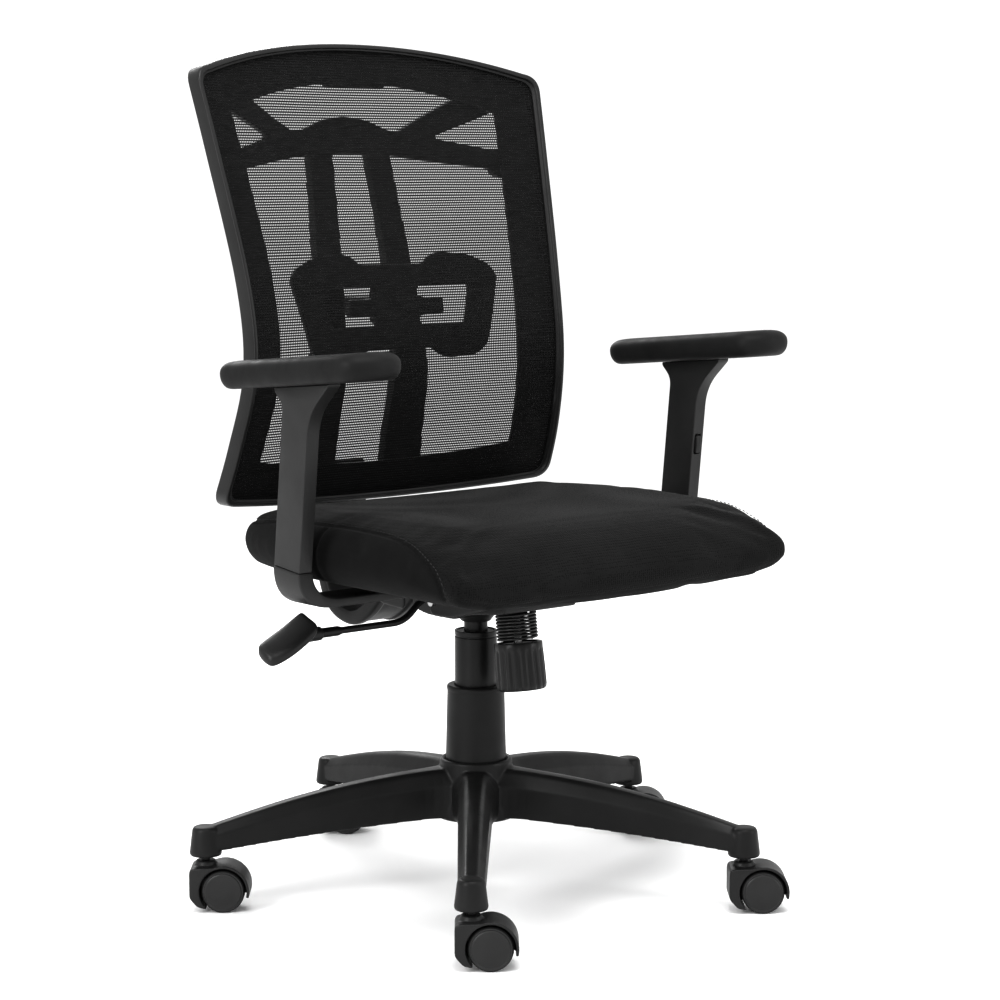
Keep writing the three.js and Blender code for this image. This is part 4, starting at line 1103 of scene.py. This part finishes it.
def spaced(line, step):
    """Points a step apart along a line of (point, normal), each with the way it runs."""
    out, left = [], 0.0
    for (a, normal), (b, _) in zip(line, line[1:]):
        length = (b - a).length
        while left < length:
            out.append((a.lerp(b, left / length), normal, (b - a).normalized()))
            left += step
        left -= length
    return out


def cushion_start():
    """The foam before it swells, a little smaller than the cushion."""
    middle, half_depth = (SEAT["front"] + SEAT["rear"]) / 2, (SEAT["rear"] - SEAT["front"]) / 2

    def place(u, v, w):
        corner = lerp(0.1, 0.22, smoothstep(v, -0.5, 0.5))
        x, y = u * sqrt(1 - corner * v * v), v * sqrt(1 - corner * u * u)
        edge = max(abs(u), abs(v))
        front = max(0.0, (-v - 0.4) / 0.6)
        side = 0.955 + 0.055 * (1 - w * w)
        pull = lerp(1, side, smoothstep(edge, 0.85, 1))
        drop = 6 * smoothstep(edge, 0.8, 1) ** 2
        top = SEAT["top"] - 5 - 7 * (1 - u * u) - drop - 26 * front ** 3 - 6 * max(0.0, v)
        bottom = lerp(SEAT["bottom"] + 1, 405 - 15 * front * (1 - 0.7 * u ** 4), smoothstep(edge, 0.8, 1))
        return (x * SEAT["half_width"] * pull, middle + y * half_depth * pull, lerp(bottom, top, (w + 1) / 2))
    return made("cushion", moulded((20, 20, 5), place))


def swollen(cushion):
    """The cover filled out by a short cloth simulation, held where it is sewn and where it rests."""
    add(cushion, "REMESH", mode="VOXEL", voxel_size=5.5 * MM, adaptivity=0)
    add(cushion, "SMOOTH", factor=0.5, iterations=6)
    settled(cushion)
    tree = surface_tree(cushion)
    sewn = [p[0] for line in seam_lines(tree) for p in line]
    near = KDTree(len(sewn))
    for i, p in enumerate(sewn):
        near.insert(p, i)
    near.balance()
    group = cushion.vertex_groups.new(name="held")
    for v in cushion.data.vertices:
        at = v.co / MM
        half_x, half_y, middle_y = SEAT["pan"]
        resting = at.z < SEAT["bottom"] + 4 and abs(at.x) < half_x + 8 and abs(at.y - middle_y) < half_y + 8
        weight = 1.0 if resting else 0.45 * exp(-(near.find(v.co)[2] / 0.006) ** 2)
        if weight > 0.05:
            group.add([v.index], weight, "REPLACE")
    start = [v.co.copy() for v in cushion.data.vertices]
    cloth = cushion.modifiers.new("Cloth", "CLOTH")
    cloth.settings.quality = 6
    cloth.settings.mass = 0.3
    cloth.settings.use_pressure = True
    cloth.settings.uniform_pressure_force = 3.0
    cloth.settings.tension_stiffness = 18
    cloth.settings.compression_stiffness = 18
    cloth.settings.bending_stiffness = 1.5
    cloth.settings.vertex_group_mass = "held"
    cloth.settings.effector_weights.gravity = 0
    cloth.point_cache.frame_start, cloth.point_cache.frame_end = 1, 20
    scene = bpy.context.scene
    for step in range(1, 21):
        scene.frame_set(step)
    add(cushion, "SMOOTH", factor=0.5, iterations=5)
    settled(cushion)
    scene.frame_set(1)
    cap = 0.007
    for v, was in zip(cushion.data.vertices, start):
        way = v.co - was
        if way.length > cap:
            v.co = was + way.normalized() * cap
    cushion.vertex_groups.clear()
    return subdivided(cushion, 1)


def surface_tree(obj):
    faces = [tuple(p.vertices) for p in obj.data.polygons]
    return BVHTree.FromPolygons([v.co for v in obj.data.vertices], faces)


def seat_cushion():
    cushion = swollen(cushion_start())
    lines = [smoothed(line) for line in seam_lines(surface_tree(cushion))]
    sewn = [point for line in lines for point, _, _ in spaced(line, 0.0015)]
    near = KDTree(len(sewn))
    for i, p in enumerate(sewn):
        near.insert(p, i)
    near.balance()
    for v in cushion.data.vertices:
        away = near.find(v.co)[2]
        if away < 0.014:
            v.co -= v.normal * (0.0022 * exp(-(away / 0.0028) ** 2) + 0.0012 * exp(-(away / 0.008) ** 2))
    cushion.data.materials.append(LOOK["seat"])
    cushion.data.materials.append(LOOK["side"])
    for polygon in cushion.data.polygons:
        at = polygon.center / MM
        beside = abs(at.x) > 150 or at.y > 60
        beyond = max(abs(at.x) - SEAM_SIDE, at.y - SEAM_REAR)
        panel = beside and at.z - SEAM_SLANT * beyond < seam_height(at.y) and at.y > SEAM[-1][0]
        polygon.material_index = int(panel or polygon.normal.z < -0.6)
    finished(cushion, LOOK["seat"], "seat", ["seat_cushion"], sharp=0)

    stitches = []
    for line in lines[:1]:
        for point, normal, way in spaced(line, 0.0058):
            side = way.cross(normal).normalized()
            middle = (point + side * 0.0034 - normal * 0.0003) / MM
            ends = [(middle + way * t, r) for t, r in ((-1.8, 0.16), (-1.2, 0.42), (1.2, 0.42), (1.8, 0.16))]
            stitches.append(loft([[p + side * (r * cos(a)) + normal * (r * sin(a))
                                   for a in (pi * k / 3 for k in range(6))] for p, r in ends]))
    n = Nodes("thread")
    colour = n.mixed(n.between(n.noise(900, 2), 0.3, 0.7), grey(0.012), grey(0.03))
    thread = n.finish(Base_Color=colour, Roughness=0.7, Normal=n.bump(n.noise(3000, 1), 0.0001))
    finished(made("stitches", *stitches), thread, "seat", sharp=0)


# ---- CAD nodes that stay
def kept_nodes():
    """Pieces whose CAD shape is right keep it, with softened edges and a finish of their own."""
    looks = {name: "steel" for name in ("piston_rod", "thrust_bearing", "valve_button", "tilt_pivot_pin",
                                        "tension_bolt")}
    looks.update({f"caster_{kind}_{k + 1}": "press" for kind in ("stem", "axle") for k in range(LEG_COUNT)})
    looks.update({"gas_lift_bush": "caster", "lever_bush": "caster", "seat_pan": "base",
                  "arm_upright_right": "press", "arm_upright_left": "press"})
    for name, look in looks.items():
        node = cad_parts[name]
        node.data.materials.clear()
        node.data.materials.append(LOOK[look])
        add(node, "BEVEL", width=0.6 * MM, segments=2, limit_method="ANGLE", angle_limit=radians(35))


star_base()
casters()
column()
housing()
seat_plate()
tension()
lever()
arm("right", -1)
arm("left", 1)
back_ring()
back_mesh()
spine()
top_tab()
seat_bar()
lumbar()
seat_cushion()
kept_nodes()
